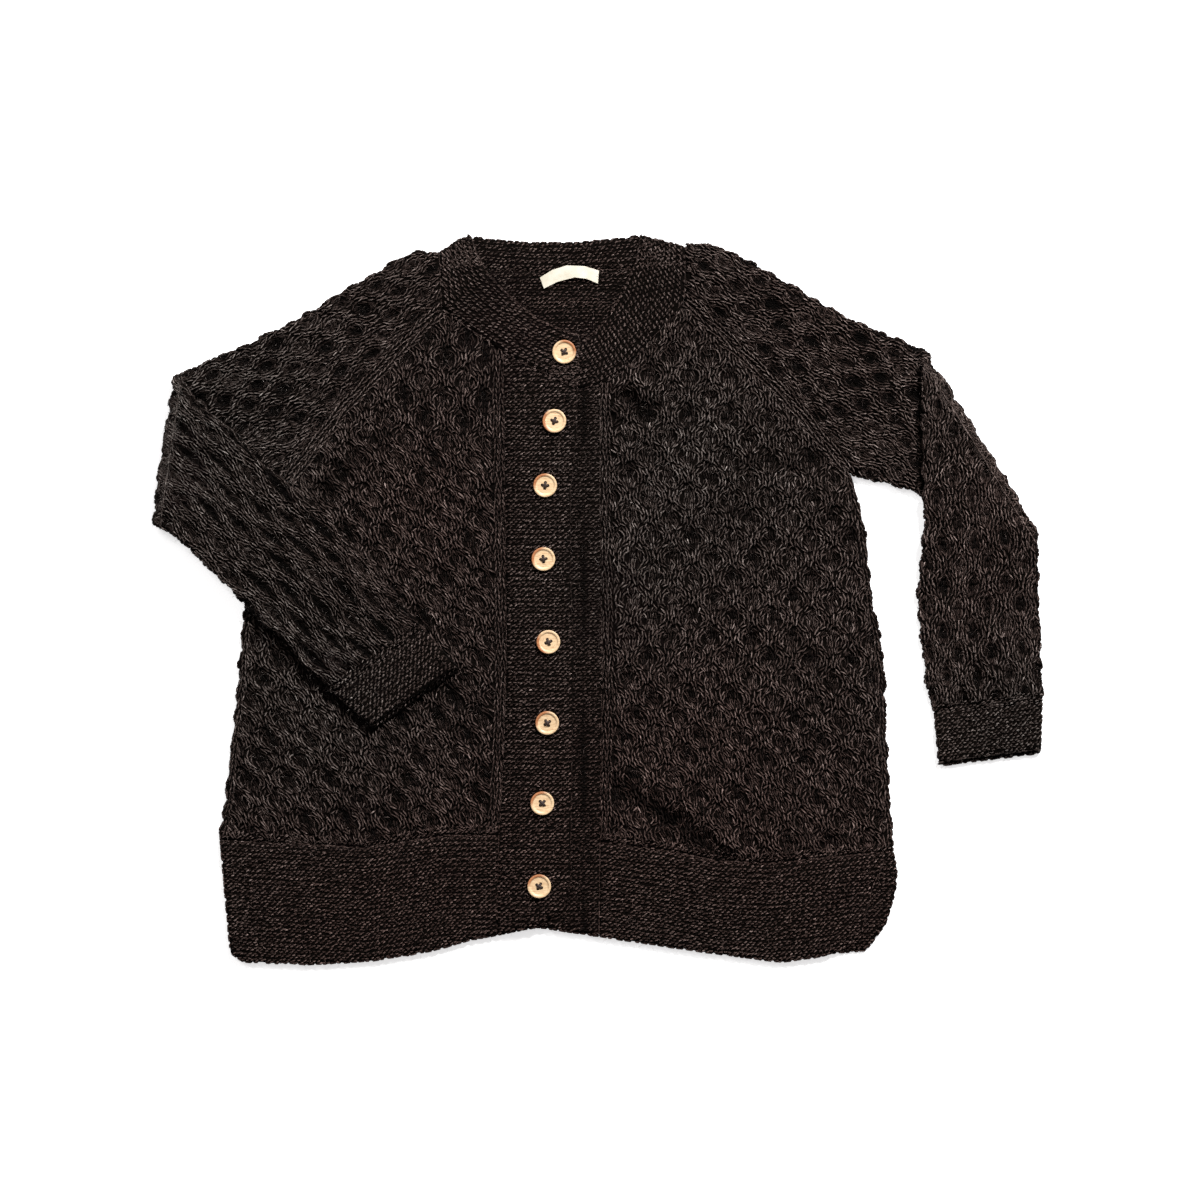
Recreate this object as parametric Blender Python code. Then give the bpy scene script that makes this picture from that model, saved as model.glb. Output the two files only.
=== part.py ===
# Hand-knitted raglan cardigan, buttoned and laid flat with its front up.
# Sizes are in millimetres and become metres when a mesh is made. +Z is up and +Y points to the collar.
# Sides are the wearer's: the right front, which carries the buttonholes, lies at -X.

import math

import bmesh
import bpy
import numpy as np
from mathutils import Vector
from mathutils.geometry import delaunay_2d_cdt

MM = 0.001

# Knitting
CLOTH = 2.8  # plain knitting
BAND = 2.9  # garter-stitch bands
LAYER_GAP = 0.4  # between two layers that lie on each other
SEAM = 0.3  # between two pieces that are sewn edge to edge
EDGE_ROUND = 4.0  # width of the softened edge
EDGE_DROP = 1.0  # height that the softened edge loses
EDGE_STEP = 24.0  # longest side of an outline's facet

# Honeycomb cable: strands wave apart and together, and leave a pit in each cell
CABLE_RISE = 1.8
PIT_DEPTH = 0.8
BODY_CELL = (36.0, 36.0)  # across the strands, along the strands
SLEEVE_CELL = (27.0, 34.0)
CELL_CLEAR = 8.0  # from a piece's edge to its first cable point

# Layers of the body
FRONT_BASE = CLOTH + LAYER_GAP
OVERLAP_BASE = FRONT_BASE + BAND + 0.3
OVERLAP_RAMP = (-86.0, -73.0)  # where the buttonhole band climbs onto the button band

# Side seams below the arms: y, right side's x, left side's x
SIDE_SEAMS = (
    (63, -293, 237),
    (0, -316, 244),
    (-36, -321, 251),
    (-72, -324, 255),
    (-126, -330, 256),
    (-180, -335, 260),
    (-216, -341, 263),
)

# Sleeve as knitted flat: u runs from the underarm to the wrist, v from the underarm seam to the shoulder
SLEEVE_WALL = CLOTH
SLEEVE_HOLLOW = 1.0
SLEEVE_THICK = 2 * SLEEVE_WALL + SLEEVE_HOLLOW
SIDE_WALL = 3.6
RAGLAN = ((0, 0), (-76, 33), (-150, 56), (-194, 68), (-216, 113))
SHOULDER_EDGE = ((-198, 125), (-140, 125), (-80, 122), (-35, 124), (30, 130), (160, 132), (230, 140),
                 (313, 134))
UNDER_EDGE = ((50, 12), (115, 24), (165, 33), (230, 33))
WRIST = (33, 129)  # the wrist seam's two ends across the sleeve
CUFF_DEPTH = 43.0
CUFF_LIP = 4.0  # the cuff's lower layer reaches past its upper one
CUFF_FLARE = 1.6  # the cuff's mouth stands this much further open

# Fold of a sleeve: the upper arm's thickness and the air between it and the forearm
FOLD_AIR = 2.2
FOLD_HEIGHT = SLEEVE_THICK + FOLD_AIR / 2
FOLD_RADIUS = FOLD_HEIGHT - SLEEVE_THICK / 2
FOLD_STEPS = 4

# Sleeves as laid: underarm's place, slope of the upper arm, hand, cap's extra reach to the neck,
# where the fold line meets the shoulder edge and its angle to the sleeve, sleeve length to the wrist
# seam at the underarm and the shoulder side, and how far the forearm sinks to the floor
SLEEVES = {
    "right": dict(underarm=(-279, 108), slope=29.0, hand=-1, reach=0, fold=(37, 130),
                  angle=-52.9, length=(348, 364), sink=0.0),
    "left": dict(underarm=(224, 114), slope=28.0, hand=1, reach=-10, fold=(6, 121),
                 angle=-30.0, length=(325, 333), sink=SLEEVE_THICK + FOLD_AIR),
}
SINK_FROM = 63.0  # y where the sinking forearm leaves the upper arm
SINK_TO = -5.0

# Neckband sections: inner x, y, outer x, y, and the layer that the section lies in
NECK_RIGHT = (
    (-19, 237, -21, 190, "over"),
    (-27, 239, -41, 200, "over"),
    (-56, 251, -75, 216, "over"),
    (-71, 263, -87, 223, "front"),
    (-86, 277, -115, 242, "front"),
    (-100, 291, -142, 261.5, "front"),
    (-111, 310, -143.5, 290, "front"),
    (-116, 324, -144.3, 308, "front"),
)
NECK_BACK = (
    (-116, 324, -144.3, 307, "back"),
    (-111, 324, -143.8, 297, "back"),
    (-103, 324, -110, 300, "back"),
    (-63, 321, -65, 297, "back"),
    (-23, 321, -23, 296, "back"),
    (9, 324, 11, 298, "back"),
    (27, 325, 45, 299, "back"),
    (33, 325, 76.8, 301, "back"),
    (36, 322, 76.8, 311, "back"),
)
NECK_LEFT = (
    (36, 322, 76.8, 312, "front"),
    (33, 304, 76.4, 292, "front"),
    (20, 275, 75.6, 269.5, "front"),
    (9, 256, 46, 234, "front"),
    (-7, 236, 22, 206, "front"),
    (-18, 231, 0, 193, "front"),
    (-30, 229, -18, 190, "front"),
    (-45, 228, -45, 189, "front"),
)
NECK_FOLDS = (((-117, 326.5), (-143, 309.5)), ((36.5, 325), (76.2, 314)))  # inner and outer end of each fold

# Front edges and hem, each from the neck down or from the wearer's right to left
BUTTONHOLE_SEAM = ((-87, 223), (-85.5, 90), (-84, -50), (-87, -144), (-91, -212), (-93, -301))
BUTTONHOLE_EDGE = ((-21, 190), (-22, 144), (-27, 99), (-27, 18), (-24, -50), (-26, -180), (-27, -252),
                   (-33, -277), (-56, -293))
BUTTON_SEAM = ((0, 193), (0, 90), (2, -50), (0, -218), (-1, -302))
BUTTON_EDGE_X = -70.0
RIGHT_HEM_TOP = ((-341, -216), (-210, -223), (-140, -212), (-91, -212))
LEFT_HEM_TOP = ((0, -218), (58, -225), (105, -235), (152, -237), (263, -226))
RIGHT_HEM_EDGE = ((-339, -235), (-335, -282), (-332, -317), (-320, -325), (-256, -327), (-205, -324),
                  (-151, -315), (-116, -305), (-93, -301))
LEFT_HEM_EDGE = ((-1, -302), (58, -311), (129, -321), (164, -325), (199, -320), (223, -311),
                 (235, -298), (244, -260), (256, -232))
BACK_HEM_EDGE = ((-336, -240), (-331, -290), (-326, -311), (-256, -320), (-151, -308), (-60, -287),
                 (11, -298), (129, -314), (190, -319), (239, -315), (256, -293), (265.5, -263), (267, -241))

# Soft folds of the fronts: ends of the line, half width, height (a trough is negative)
FOLDS = (
    ((11, -166), (110, -232), 9.0, -1.3),
    ((25, -155), (112, -212), 15.0, 2.4),
    ((24, 184), (38, 164), 7.0, -1.3),
    ((44, 186), (58, 160), 13.0, 2.2),
    ((10, 176), (20, 158), 7.0, -1.0),
    ((150, 60), (205, 96), 16.0, 1.6),
)

# Buttons
BUTTON_PLACES = ((-32.1, 222.5), (-40.9, 160.5), (-49.2, 102.8), (-50.8, 36.7), (-46.3, -37.7),
                 (-47.3, -110.3), (-51.8, -182.3), (-54.5, -256.7))
BUTTON_RADIUS = 10.7
BUTTON_THICK = 3.2
BUTTON_DISH = (7.6, 0.7)  # radius and depth of the turned dish
BUTTON_ROUND = 1.0
BUTTON_SIDES = 24
HOLE_RADIUS = 1.15
HOLE_OFFSET = 1.7
HOLE_SIDES = 6

# Neck label, a short strip sewn at its ends
LABEL_CENTRE = (-27, 289)
LABEL_SIZE = (52, 11)
LABEL_ARCH = 8.0
LABEL_THICK = 0.7
LABEL_BOW = 0.8

KNIT_COLOUR = (0.028, 0.021, 0.018)
BAND_COLOUR = (0.024, 0.018, 0.016)
WOOD_COLOUR = (0.82, 0.63, 0.42)
LABEL_COLOUR = (0.80, 0.77, 0.66)


def clear_scene():
    for item in list(bpy.data.objects):
        bpy.data.objects.remove(item)


def material(name, colour, roughness):
    made = bpy.data.materials.new(name)
    made.use_nodes = True
    shader = made.node_tree.nodes["Principled BSDF"]
    shader.inputs["Base Color"].default_value = (*colour, 1.0)
    shader.inputs["Roughness"].default_value = roughness
    shader.inputs["Metallic"].default_value = 0.0
    return made


def solid(name, points, faces, finish):
    mesh = bpy.data.meshes.new(name)
    mesh.from_pydata([Vector(point) * MM for point in points], [], faces)
    shell = bmesh.new()
    shell.from_mesh(mesh)
    bmesh.ops.recalc_face_normals(shell, faces=shell.faces)
    shell.to_mesh(mesh)
    shell.free()
    mesh.materials.append(finish)
    placed = bpy.data.objects.new(name, mesh)
    bpy.context.collection.objects.link(placed)
    return placed


# Outlines


def smooth(value):
    value = min(1.0, max(0.0, value))
    return value * value * (3 - 2 * value)


def clearance(points, outline):
    # Distance of each point from the outline, negative outside it
    spots = np.asarray(points, float).reshape(-1, 1, 2)
    starts = np.asarray(outline, float)[None]
    edges = np.roll(starts, -1, axis=1) - starts
    share = ((spots - starts) * edges).sum(-1) / (edges**2).sum(-1)
    nearest = starts + np.clip(share, 0, 1)[..., None] * edges
    distance = np.linalg.norm(spots - nearest, axis=-1).min(1)
    above = starts[..., 1] > spots[..., 1]
    crosses = above != np.roll(above, -1, axis=1)
    rise = np.where(edges[..., 1] == 0, 1.0, edges[..., 1])
    reach = starts[..., 0] + edges[..., 0] * (spots[..., 1] - starts[..., 1]) / rise
    inside = (crosses & (spots[..., 0] < reach)).sum(1) % 2 == 1
    return np.where(inside, distance, -distance)


def spaced(line, step, closed=True):
    # Splits long stretches of a line evenly
    ends = list(line[1:]) + ([line[0]] if closed else [])
    points = []
    for start, end in zip(line, ends):
        parts = max(1, math.ceil(math.dist(start, end) / step))
        points += [tuple(start[k] + (end[k] - start[k]) * i / parts for k in (0, 1)) for i in range(parts)]
    return points if closed else points + [tuple(line[-1])]


def counterclockwise(outline):
    x, y = np.asarray(outline, float).T
    area = (x * np.roll(y, -1) - y * np.roll(x, -1)).sum()
    return list(outline) if area > 0 else list(outline)[::-1]


def pulled_in(outline, distance):
    # Moves each corner of a counterclockwise outline inwards along its bisector
    spots = np.asarray(outline, float)
    ahead = np.roll(spots, -1, axis=0) - spots
    ahead /= np.linalg.norm(ahead, axis=1)[:, None]
    behind = np.roll(ahead, 1, axis=0)
    inward = np.stack([-(ahead + behind)[:, 1], (ahead + behind)[:, 0]], axis=1)
    length = np.linalg.norm(inward, axis=1)[:, None]
    inward /= length
    return spots + inward * distance / np.clip(length / 2, 0.5, 1.0)


def triangles(outline, inside, stretch=(1.0, 1.0)):
    # Triangles over an outline and the points inside it, numbered in that order
    points = [Vector((x * stretch[0], y * stretch[1])) for x, y in (*outline, *inside)]
    count = len(outline)
    edges = [(i, (i + 1) % count) for i in range(count)]
    found = delaunay_2d_cdt(points, edges, [list(range(count))], 1, 1e-5)
    number = [source[0] for source in found[3]]
    return [tuple(number[corner] for corner in face) for face in found[2]]


def honeycomb(outline, cell, clear, along_x=False):
    # Points of the cable inside an outline, as (x, y, rise): pits and the strands round them
    across, along = cell
    low, high = np.min(outline, axis=0), np.max(outline, axis=0)
    if along_x:
        low, high = low[::-1], high[::-1]
    first, last = math.floor(low[1] / (along / 4)), math.ceil(high[1] / (along / 4))
    left, right = math.floor(low[0] / (across / 2)), math.ceil(high[0] / (across / 2))
    found = []
    for row in range(first, last + 1):
        for column in range(left, right + 1):
            shift = 0.25 if row % 2 == 0 else 0.0
            a, b = (column / 2 + shift) * across, row * along / 4
            pit = row % 2 == 0 and (column + row // 2) % 2 == 1
            found.append((b, a, pit) if along_x else (a, b, pit))
    keep = clearance([spot[:2] for spot in found], outline) > clear
    return [(x, y, -PIT_DEPTH if pit else CABLE_RISE) for (x, y, pit), stays in zip(found, keep) if stays]


def front_folds(x, y):
    # Height of the fronts' soft folds: how far the cloth lifts, and how deep its troughs are
    lift, trough = 0.0, 0.0
    for start, end, width, height in FOLDS:
        run = np.subtract(end, start)
        share = np.clip(np.dot(np.subtract((x, y), start), run) / np.dot(run, run), 0, 1)
        away = np.linalg.norm(np.subtract((x, y), start) - share * run)
        bump = height * math.exp(-((away / width) ** 2))
        lift += max(bump, 0.0)
        trough += min(bump, 0.0)
    return lift, trough


# Flat pieces


def panel(name, outline, base, thick, finish, cell=None, inside=(), trough=None):
    # A wall over an outline: its underside at base(x, y), its top softened at the edge
    rim = spaced(pulled_in(counterclockwise(outline), SEAM / 2), EDGE_STEP)
    ring = pulled_in(rim, EDGE_ROUND)
    ring = ring[clearance(ring, rim) > 0.7 * EDGE_ROUND]
    inner = [spot for spot in inside if clearance([spot], rim)[0] > CELL_CLEAR]
    cable = honeycomb(rim, cell, CELL_CLEAR) if cell else []
    raised = [(x, y, -EDGE_DROP) for x, y in rim] + [(x, y, 0.0) for x, y in ring]
    raised += cable if cell else [(x, y, 0.0) for x, y in inner]
    top = [(x, y, base(x, y) + thick + rise + (trough(x, y) if trough else 0)) for x, y, rise in raised]
    under = [(x, y, base(x, y)) for x, y in (*rim, *inner)]
    stretch = (1.0, 1.25 * cell[0] / cell[1]) if cell else (1.0, 1.0)
    faces = triangles(rim, [spot[:2] for spot in raised[len(rim):]], stretch)
    faces += [tuple(len(top) + i for i in reversed(face)) for face in triangles(rim, inner)]
    for i in range(len(rim)):
        j = (i + 1) % len(rim)
        faces.append((len(top) + i, len(top) + j, j, i))
    return solid(name, top + under, faces, finish)


def grid(outline, step):
    low, high = np.min(outline, axis=0), np.max(outline, axis=0)
    return [(x, y) for x in np.arange(low[0], high[0], step) for y in np.arange(low[1], high[1], step)]


def on_floor(x, y):
    return 0.0


def on_back(x, y):
    return FRONT_BASE


def on_back_folded(x, y):
    return FRONT_BASE + front_folds(x, y)[0]


def fold_troughs(x, y):
    return front_folds(x, y)[1]


def over_button_band(x, y):
    start, end = OVERLAP_RAMP
    return FRONT_BASE + (OVERLAP_BASE - FRONT_BASE) * smooth((x - start) / (end - start))


# Sleeves


def raglan(sleeve):
    # The armhole edge in the sleeve's own flat pattern, underarm first
    return [(u + sleeve["reach"] * min(1.0, -u / 190), v) for u, v in RAGLAN]


def laid(sleeve, u, v):
    # From the sleeve's flat pattern to the place where it lies
    slope, hand = math.radians(sleeve["slope"]), sleeve["hand"]
    x, y = sleeve["underarm"]
    return (x + hand * (u * math.cos(slope) + v * math.sin(slope)),
            y - u * math.sin(slope) + v * math.cos(slope))


def past_fold(sleeve, u, v):
    # Distance of a point past the fold line, towards the wrist
    angle = math.radians(sleeve["angle"])
    return -(u - sleeve["fold"][0]) * math.sin(angle) + (v - sleeve["fold"][1]) * math.cos(angle)


def folded(sleeve, u, v, height):
    # Rolls the sleeve over its fold line, lays it in place and lets the forearm sink to the floor
    away = past_fold(sleeve, u, v)
    arc = math.pi * FOLD_RADIUS
    turned, z = away, height
    if away > arc:
        turned, z = arc - away, 2 * FOLD_HEIGHT - height
    elif away > 0:
        turned = (FOLD_HEIGHT - height) * math.sin(away / FOLD_RADIUS)
        z = FOLD_HEIGHT - (FOLD_HEIGHT - height) * math.cos(away / FOLD_RADIUS)
    angle = math.radians(sleeve["angle"])
    x, y = laid(sleeve, u - (turned - away) * math.sin(angle), v + (turned - away) * math.cos(angle))
    if away > arc:
        z -= sleeve["sink"] * smooth((SINK_FROM - y) / (SINK_FROM - SINK_TO))
    return x, y, z


def split_at(line, level, height_of):
    # Adds the points where a line crosses a level
    made = [line[0]]
    for start, end in zip(line, line[1:]):
        before, after = height_of(start) - level, height_of(end) - level
        if before * after < 0:
            share = before / (before - after)
            made.append(tuple(start[k] + (end[k] - start[k]) * share for k in (0, 1)))
        made.append(end)
    return made


def tube(name, sleeve, sides, ends, finish, cell=None, flare=0.0, lip=0.0):
    # A flattened tube. sides are its lower and upper edge and ends its two open edges, in the flat pattern
    bend = [math.pi * FOLD_RADIUS * i / FOLD_STEPS for i in range(FOLD_STEPS + 1)]

    def away(spot):
        return past_fold(sleeve, *spot)

    low, high = (spaced(side, EDGE_STEP, closed=False) for side in sides)
    for level in bend:
        low, high = split_at(low, level, away), split_at(high, level, away)
    near, far = (spaced(end, EDGE_STEP, closed=False) for end in ends)
    outline = low[:-1] + far[:-1] + high[::-1][:-1] + near[::-1][:-1]
    marks = ["side"] * (len(low) - 1) + ["far"] * (len(far) - 1) + ["side"] * (len(high) - 1)
    marks += ["near"] * (len(near) - 1)
    count = len(outline)
    rim = pulled_in(outline, SEAM / 2)
    hollow = pulled_in(rim, SIDE_WALL)
    for i in range(count):
        before, after = marks[i - 1], marks[i]
        if before != "side" and after != "side":
            hollow[i] = rim[i]
        elif before != after:
            step = rim[(i + 1) % count] - rim[i] if before == "side" else rim[i - 1] - rim[i]
            hollow[i] = rim[i] + step * SIDE_WALL / np.linalg.norm(step)
    ring = pulled_in(rim, EDGE_ROUND)
    ring = [tuple(spot) for spot in ring[clearance(ring, rim) > 0.7 * EDGE_ROUND]]

    # Rows of points along the fold, and across the stretch that sinks to the floor
    bends = []
    angle = math.radians(sleeve["angle"])
    for level in bend:
        for step in np.arange(-30, 260, 13.0):
            u = sleeve["fold"][0] + step * math.cos(angle) - level * math.sin(angle)
            v = sleeve["fold"][1] + step * math.sin(angle) + level * math.cos(angle)
            bends.append((u, v))
    if sleeve["sink"]:
        bends += [(u, v) for u in np.arange(150, 300, 18.0) for v in (50.0, 80.0, 110.0)
                  if past_fold(sleeve, u, v) > bend[-1] + 6]
    bends = [spot for spot in bends if clearance([spot], rim)[0] > EDGE_ROUND + 3]

    def covered(u, v):
        # The forearm hides this point of the upper arm
        back = bend[-1] - 2 * away((u, v))
        mirror = (u - back * math.sin(angle), v + back * math.cos(angle))
        return clearance([mirror], rim)[0] > -2

    upper, lower = [], []
    for u, v, rise in honeycomb(rim, cell, CELL_CLEAR, along_x=True) if cell else []:
        if away((u, v)) < -4 and not covered(u, v):
            upper.append((u, v, rise))
        elif away((u, v)) > bend[-1] + 4:
            lower.append((u, v, rise))

    reach = max(u for u, v in outline)
    start = min(u for u, v in far) - CUFF_DEPTH

    def open_mouth(u):
        return flare * smooth((u - start) / CUFF_DEPTH)

    points, faces = [], []

    def add(spots):
        points.extend(folded(sleeve, u, v, height) for u, v, height in spots)
        return len(points) - len(spots)

    def face(corners):
        faces.append(tuple(corners))

    middle = SLEEVE_WALL + SLEEVE_HOLLOW / 2
    at_mouth = [lip if reach - u < CUFF_DEPTH / 2 and mark == "far" else 0.0
                for (u, v), mark in zip(outline, marks)]
    if lip:
        at_mouth[(len(low) - 1 + len(far) - 1) % count] = lip
    top_rim = [(u + more, v, SLEEVE_THICK - EDGE_DROP) for (u, v), more in zip(rim, at_mouth)]
    top_plain = [(u, v, SLEEVE_THICK) for u, v in bends]
    top_cable = [(u, v, SLEEVE_THICK + rise) for u, v, rise in upper]
    top = add(top_rim + [(u, v, SLEEVE_THICK) for u, v in ring] + top_cable + top_plain)
    low_rim = [(u, v, EDGE_DROP - open_mouth(u)) for u, v in rim]
    bottom = add(low_rim + [(u, v, -open_mouth(u)) for u, v in ring]
                 + [(u, v, -rise) for u, v, rise in lower] + [(u, v, -open_mouth(u)) for u, v in bends])
    roof = add([(u + more, v, middle + SLEEVE_HOLLOW / 2) for (u, v), more in zip(hollow, at_mouth)]
               + [(u, v, middle + SLEEVE_HOLLOW / 2) for u, v in bends])
    ground = add([(u, v, middle - SLEEVE_HOLLOW / 2 - open_mouth(u)) for u, v in hollow]
                 + [(u, v, middle - SLEEVE_HOLLOW / 2 - open_mouth(u)) for u, v in bends])
    for corners in triangles(rim, ring + [s[:2] for s in upper] + bends):
        face(top + i for i in corners)
    for corners in triangles(rim, ring + [s[:2] for s in lower] + bends):
        face(bottom + i for i in reversed(corners))
    for corners in triangles(hollow, bends):
        face(roof + i for i in reversed(corners))
        face(ground + i for i in corners)
    for i in range(count):
        j = (i + 1) % count
        if marks[i] == "side":
            face((bottom + i, bottom + j, top + j, top + i))
            face((roof + i, roof + j, ground + j, ground + i))
        else:
            face((top + i, roof + i, roof + j, top + j))
            face((bottom + i, bottom + j, ground + j, ground + i))
        if marks[i] != "side" and marks[i - 1] == "side":
            face((bottom + i, ground + i, roof + i, top + i))
        if marks[i] == "side" and marks[i - 1] != "side":
            face((top + i, roof + i, ground + i, bottom + i))
    return solid(name, points, faces, finish)


def sleeve_and_cuff(side, knit, band):
    sleeve = SLEEVES[side]
    armhole = raglan(sleeve)
    under, shoulder = sleeve["length"]
    wrist = ((under, WRIST[0]), (shoulder, WRIST[1]))
    mouth = ((under + CUFF_DEPTH, WRIST[0] + 3), (shoulder + CUFF_DEPTH, WRIST[1] - 2))
    sides = ((armhole[0], *UNDER_EDGE, wrist[0]), (armhole[-1], *SHOULDER_EDGE, wrist[1]))
    tube(f"{side}_sleeve", sleeve, sides, (armhole, wrist), knit, cell=SLEEVE_CELL)
    sides = ((wrist[0], mouth[0]), (wrist[1], mouth[1]))
    tube(f"{side}_cuff", sleeve, sides, (wrist, mouth), band, flare=CUFF_FLARE, lip=CUFF_LIP)


# Body


def raglan_line(side):
    # The armhole seam where it lies, underarm first, without the end at the neckband
    sleeve = SLEEVES[side]
    return [laid(sleeve, u, v) for u, v in raglan(sleeve)[:-1]]


def side_seam(column):
    return [(row[column], row[0]) for row in SIDE_SEAMS]


def body(knit, band):
    right, left = raglan_line("right"), raglan_line("left")
    neck_right = [row[2:4] for row in NECK_RIGHT]
    neck_left = [row[2:4] for row in NECK_LEFT]
    neck_back = [row[2:4] for row in NECK_BACK[1:-1]]

    outline = (*right[::-1][:-1], right[0], *side_seam(1), *RIGHT_HEM_TOP[1:], *LEFT_HEM_TOP,
               *side_seam(2)[::-1], *left, *neck_back[::-1])
    panel("back", outline, on_floor, CLOTH, knit)
    outline = (*RIGHT_HEM_TOP, *LEFT_HEM_TOP, *BACK_HEM_EDGE[::-1])
    panel("back_hem", outline, on_floor, BAND, band)

    outline = (*right[::-1], *side_seam(1), *RIGHT_HEM_TOP[1:], *BUTTONHOLE_SEAM[:-2][::-1], neck_right[4])
    panel("right_front", outline, on_back_folded, CLOTH, knit, BODY_CELL, grid(outline, 30), fold_troughs)
    outline = (*BUTTON_SEAM[:-1], *LEFT_HEM_TOP[1:], *side_seam(2)[::-1], *left, *neck_left[3:5])
    panel("left_front", outline, on_back_folded, CLOTH, knit, BODY_CELL, grid(outline, 15), fold_troughs)

    outline = (*RIGHT_HEM_TOP[::-1], *RIGHT_HEM_EDGE)
    panel("right_front_hem", outline, on_back, BAND, band)
    outline = (*LEFT_HEM_TOP[::-1], *LEFT_HEM_EDGE)
    panel("left_front_hem", outline, on_back, BAND, band)

    ramp = [(x, y) for x in (*OVERLAP_RAMP, sum(OVERLAP_RAMP) / 2) for y in range(-290, 220, 24)]
    outline = (*BUTTONHOLE_SEAM, *BUTTONHOLE_EDGE[::-1], neck_right[1], neck_right[2])
    panel("buttonhole_band", outline, over_button_band, BAND, band, inside=ramp)
    foot = BUTTON_SEAM[-1]
    outline = (*BUTTON_SEAM, (-48, foot[1] + 7), (BUTTON_EDGE_X, foot[1] + 10),
               (BUTTON_EDGE_X, neck_left[-1][1]), neck_left[-1], neck_left[-2])
    panel("button_band", outline, on_back, BAND, band)


def neckband(band):
    # A strip round the neck: over the right front's end, up, round the back and down the left front
    base = {"over": OVERLAP_BASE, "front": FRONT_BASE, "back": 0.0}
    centre = (FRONT_BASE + BAND) / 2
    gap = SEAM / 2

    def flat(row):
        inner, outer = np.array(row[0:2], float), np.array(row[2:4], float)
        outer = outer + (inner - outer) / np.linalg.norm(inner - outer) * gap
        low, high = base[row[4]], base[row[4]] + BAND
        section = [(*inner, low), (*outer, low), (*outer, high), (*inner, high)]
        return section if row[4] != "back" else [section[k] for k in (3, 2, 1, 0)]

    def rolled(fold, turn):
        inner, outer = (np.array(end, float) for end in fold)
        along = (inner - outer) / np.linalg.norm(inner - outer)
        outer = outer + along * gap
        outward = np.array((-along[1], along[0]))
        outward *= np.sign(outward[1])
        section = []
        for radius in (centre - BAND, centre):
            reach, height = radius * math.sin(turn), centre + radius * math.cos(turn)
            section += [(*(end + outward * reach), height) for end in (inner, outer)]
        return [section[k] for k in (0, 1, 3, 2)]

    turns = [math.radians(angle) for angle in (30, 60, 90, 120, 150)]
    sections = [flat(row) for row in NECK_RIGHT]
    sections += [rolled(NECK_FOLDS[0], turn) for turn in turns]
    sections += [flat(row) for row in NECK_BACK]
    sections += [rolled(NECK_FOLDS[1], turn) for turn in turns[::-1]]
    sections += [flat(row) for row in NECK_LEFT]
    points = [corner for section in sections for corner in section]
    faces = [(0, 1, 2, 3), tuple(len(points) - k for k in (1, 2, 3, 4))]
    for i in range(len(sections) - 1):
        for k in range(4):
            step = (k + 1) % 4
            faces.append((4 * i + k, 4 * i + 4 + k, 4 * i + 4 + step, 4 * i + step))
    return solid("neckband", points, faces, band)


# Trimmings


def button_mesh(wood):
    # A turned disc with a dish in its face and four holes through it
    profile = (
        (BUTTON_RADIUS - BUTTON_ROUND, 0.0),
        (BUTTON_RADIUS, BUTTON_ROUND),
        (BUTTON_RADIUS, BUTTON_THICK - BUTTON_ROUND),
        (BUTTON_RADIUS - BUTTON_ROUND, BUTTON_THICK),
        (BUTTON_DISH[0] + BUTTON_DISH[1], BUTTON_THICK),
        (BUTTON_DISH[0], BUTTON_THICK - BUTTON_DISH[1]),
    )
    shell = bmesh.new()
    rings = []
    for radius, height in profile:
        turn = [2 * math.pi * i / BUTTON_SIDES for i in range(BUTTON_SIDES)]
        rings.append([shell.verts.new((radius * math.cos(a) * MM, radius * math.sin(a) * MM, height * MM))
                      for a in turn])
    for lower, upper in zip(rings, rings[1:]):
        for i in range(BUTTON_SIDES):
            j = (i + 1) % BUTTON_SIDES
            shell.faces.new((lower[i], lower[j], upper[j], upper[i]))
    shell.faces.new(rings[0][::-1])
    shell.faces.new(rings[-1])
    disc = bpy.data.meshes.new("button")
    shell.to_mesh(disc)
    shell.free()
    disc.materials.append(wood)

    cutter_shape = bmesh.new()
    for along in (-1, 1):
        for across in (-1, 1):
            made = bmesh.ops.create_cone(cutter_shape, cap_ends=True, segments=HOLE_SIDES,
                                         radius1=HOLE_RADIUS * MM, radius2=HOLE_RADIUS * MM,
                                         depth=3 * BUTTON_THICK * MM)
            shift = Vector((along * HOLE_OFFSET * MM, across * HOLE_OFFSET * MM, 0))
            bmesh.ops.translate(cutter_shape, verts=made["verts"], vec=shift)
    holes = bpy.data.meshes.new("button_holes")
    cutter_shape.to_mesh(holes)
    cutter_shape.free()
    blank = bpy.data.objects.new("button_blank", disc)
    cutter = bpy.data.objects.new("button_holes", holes)
    for item in (blank, cutter):
        bpy.context.collection.objects.link(item)
    drill = blank.modifiers.new("holes", "BOOLEAN")
    drill.object = cutter
    drill.solver = "EXACT"
    bpy.context.view_layer.update()
    drilled = bpy.data.meshes.new_from_object(blank.evaluated_get(bpy.context.evaluated_depsgraph_get()))
    for item in (blank, cutter):
        bpy.data.objects.remove(item)
    return drilled


def buttons(wood):
    shape = button_mesh(wood)
    height = OVERLAP_BASE + BAND + SEAM
    for number, (x, y) in enumerate(BUTTON_PLACES, start=1):
        placed = bpy.data.objects.new(f"button_{number}", shape)
        placed.location = Vector((x, y, height)) * MM
        placed.rotation_euler.z = math.radians(13 * number)
        bpy.context.collection.objects.link(placed)


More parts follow.
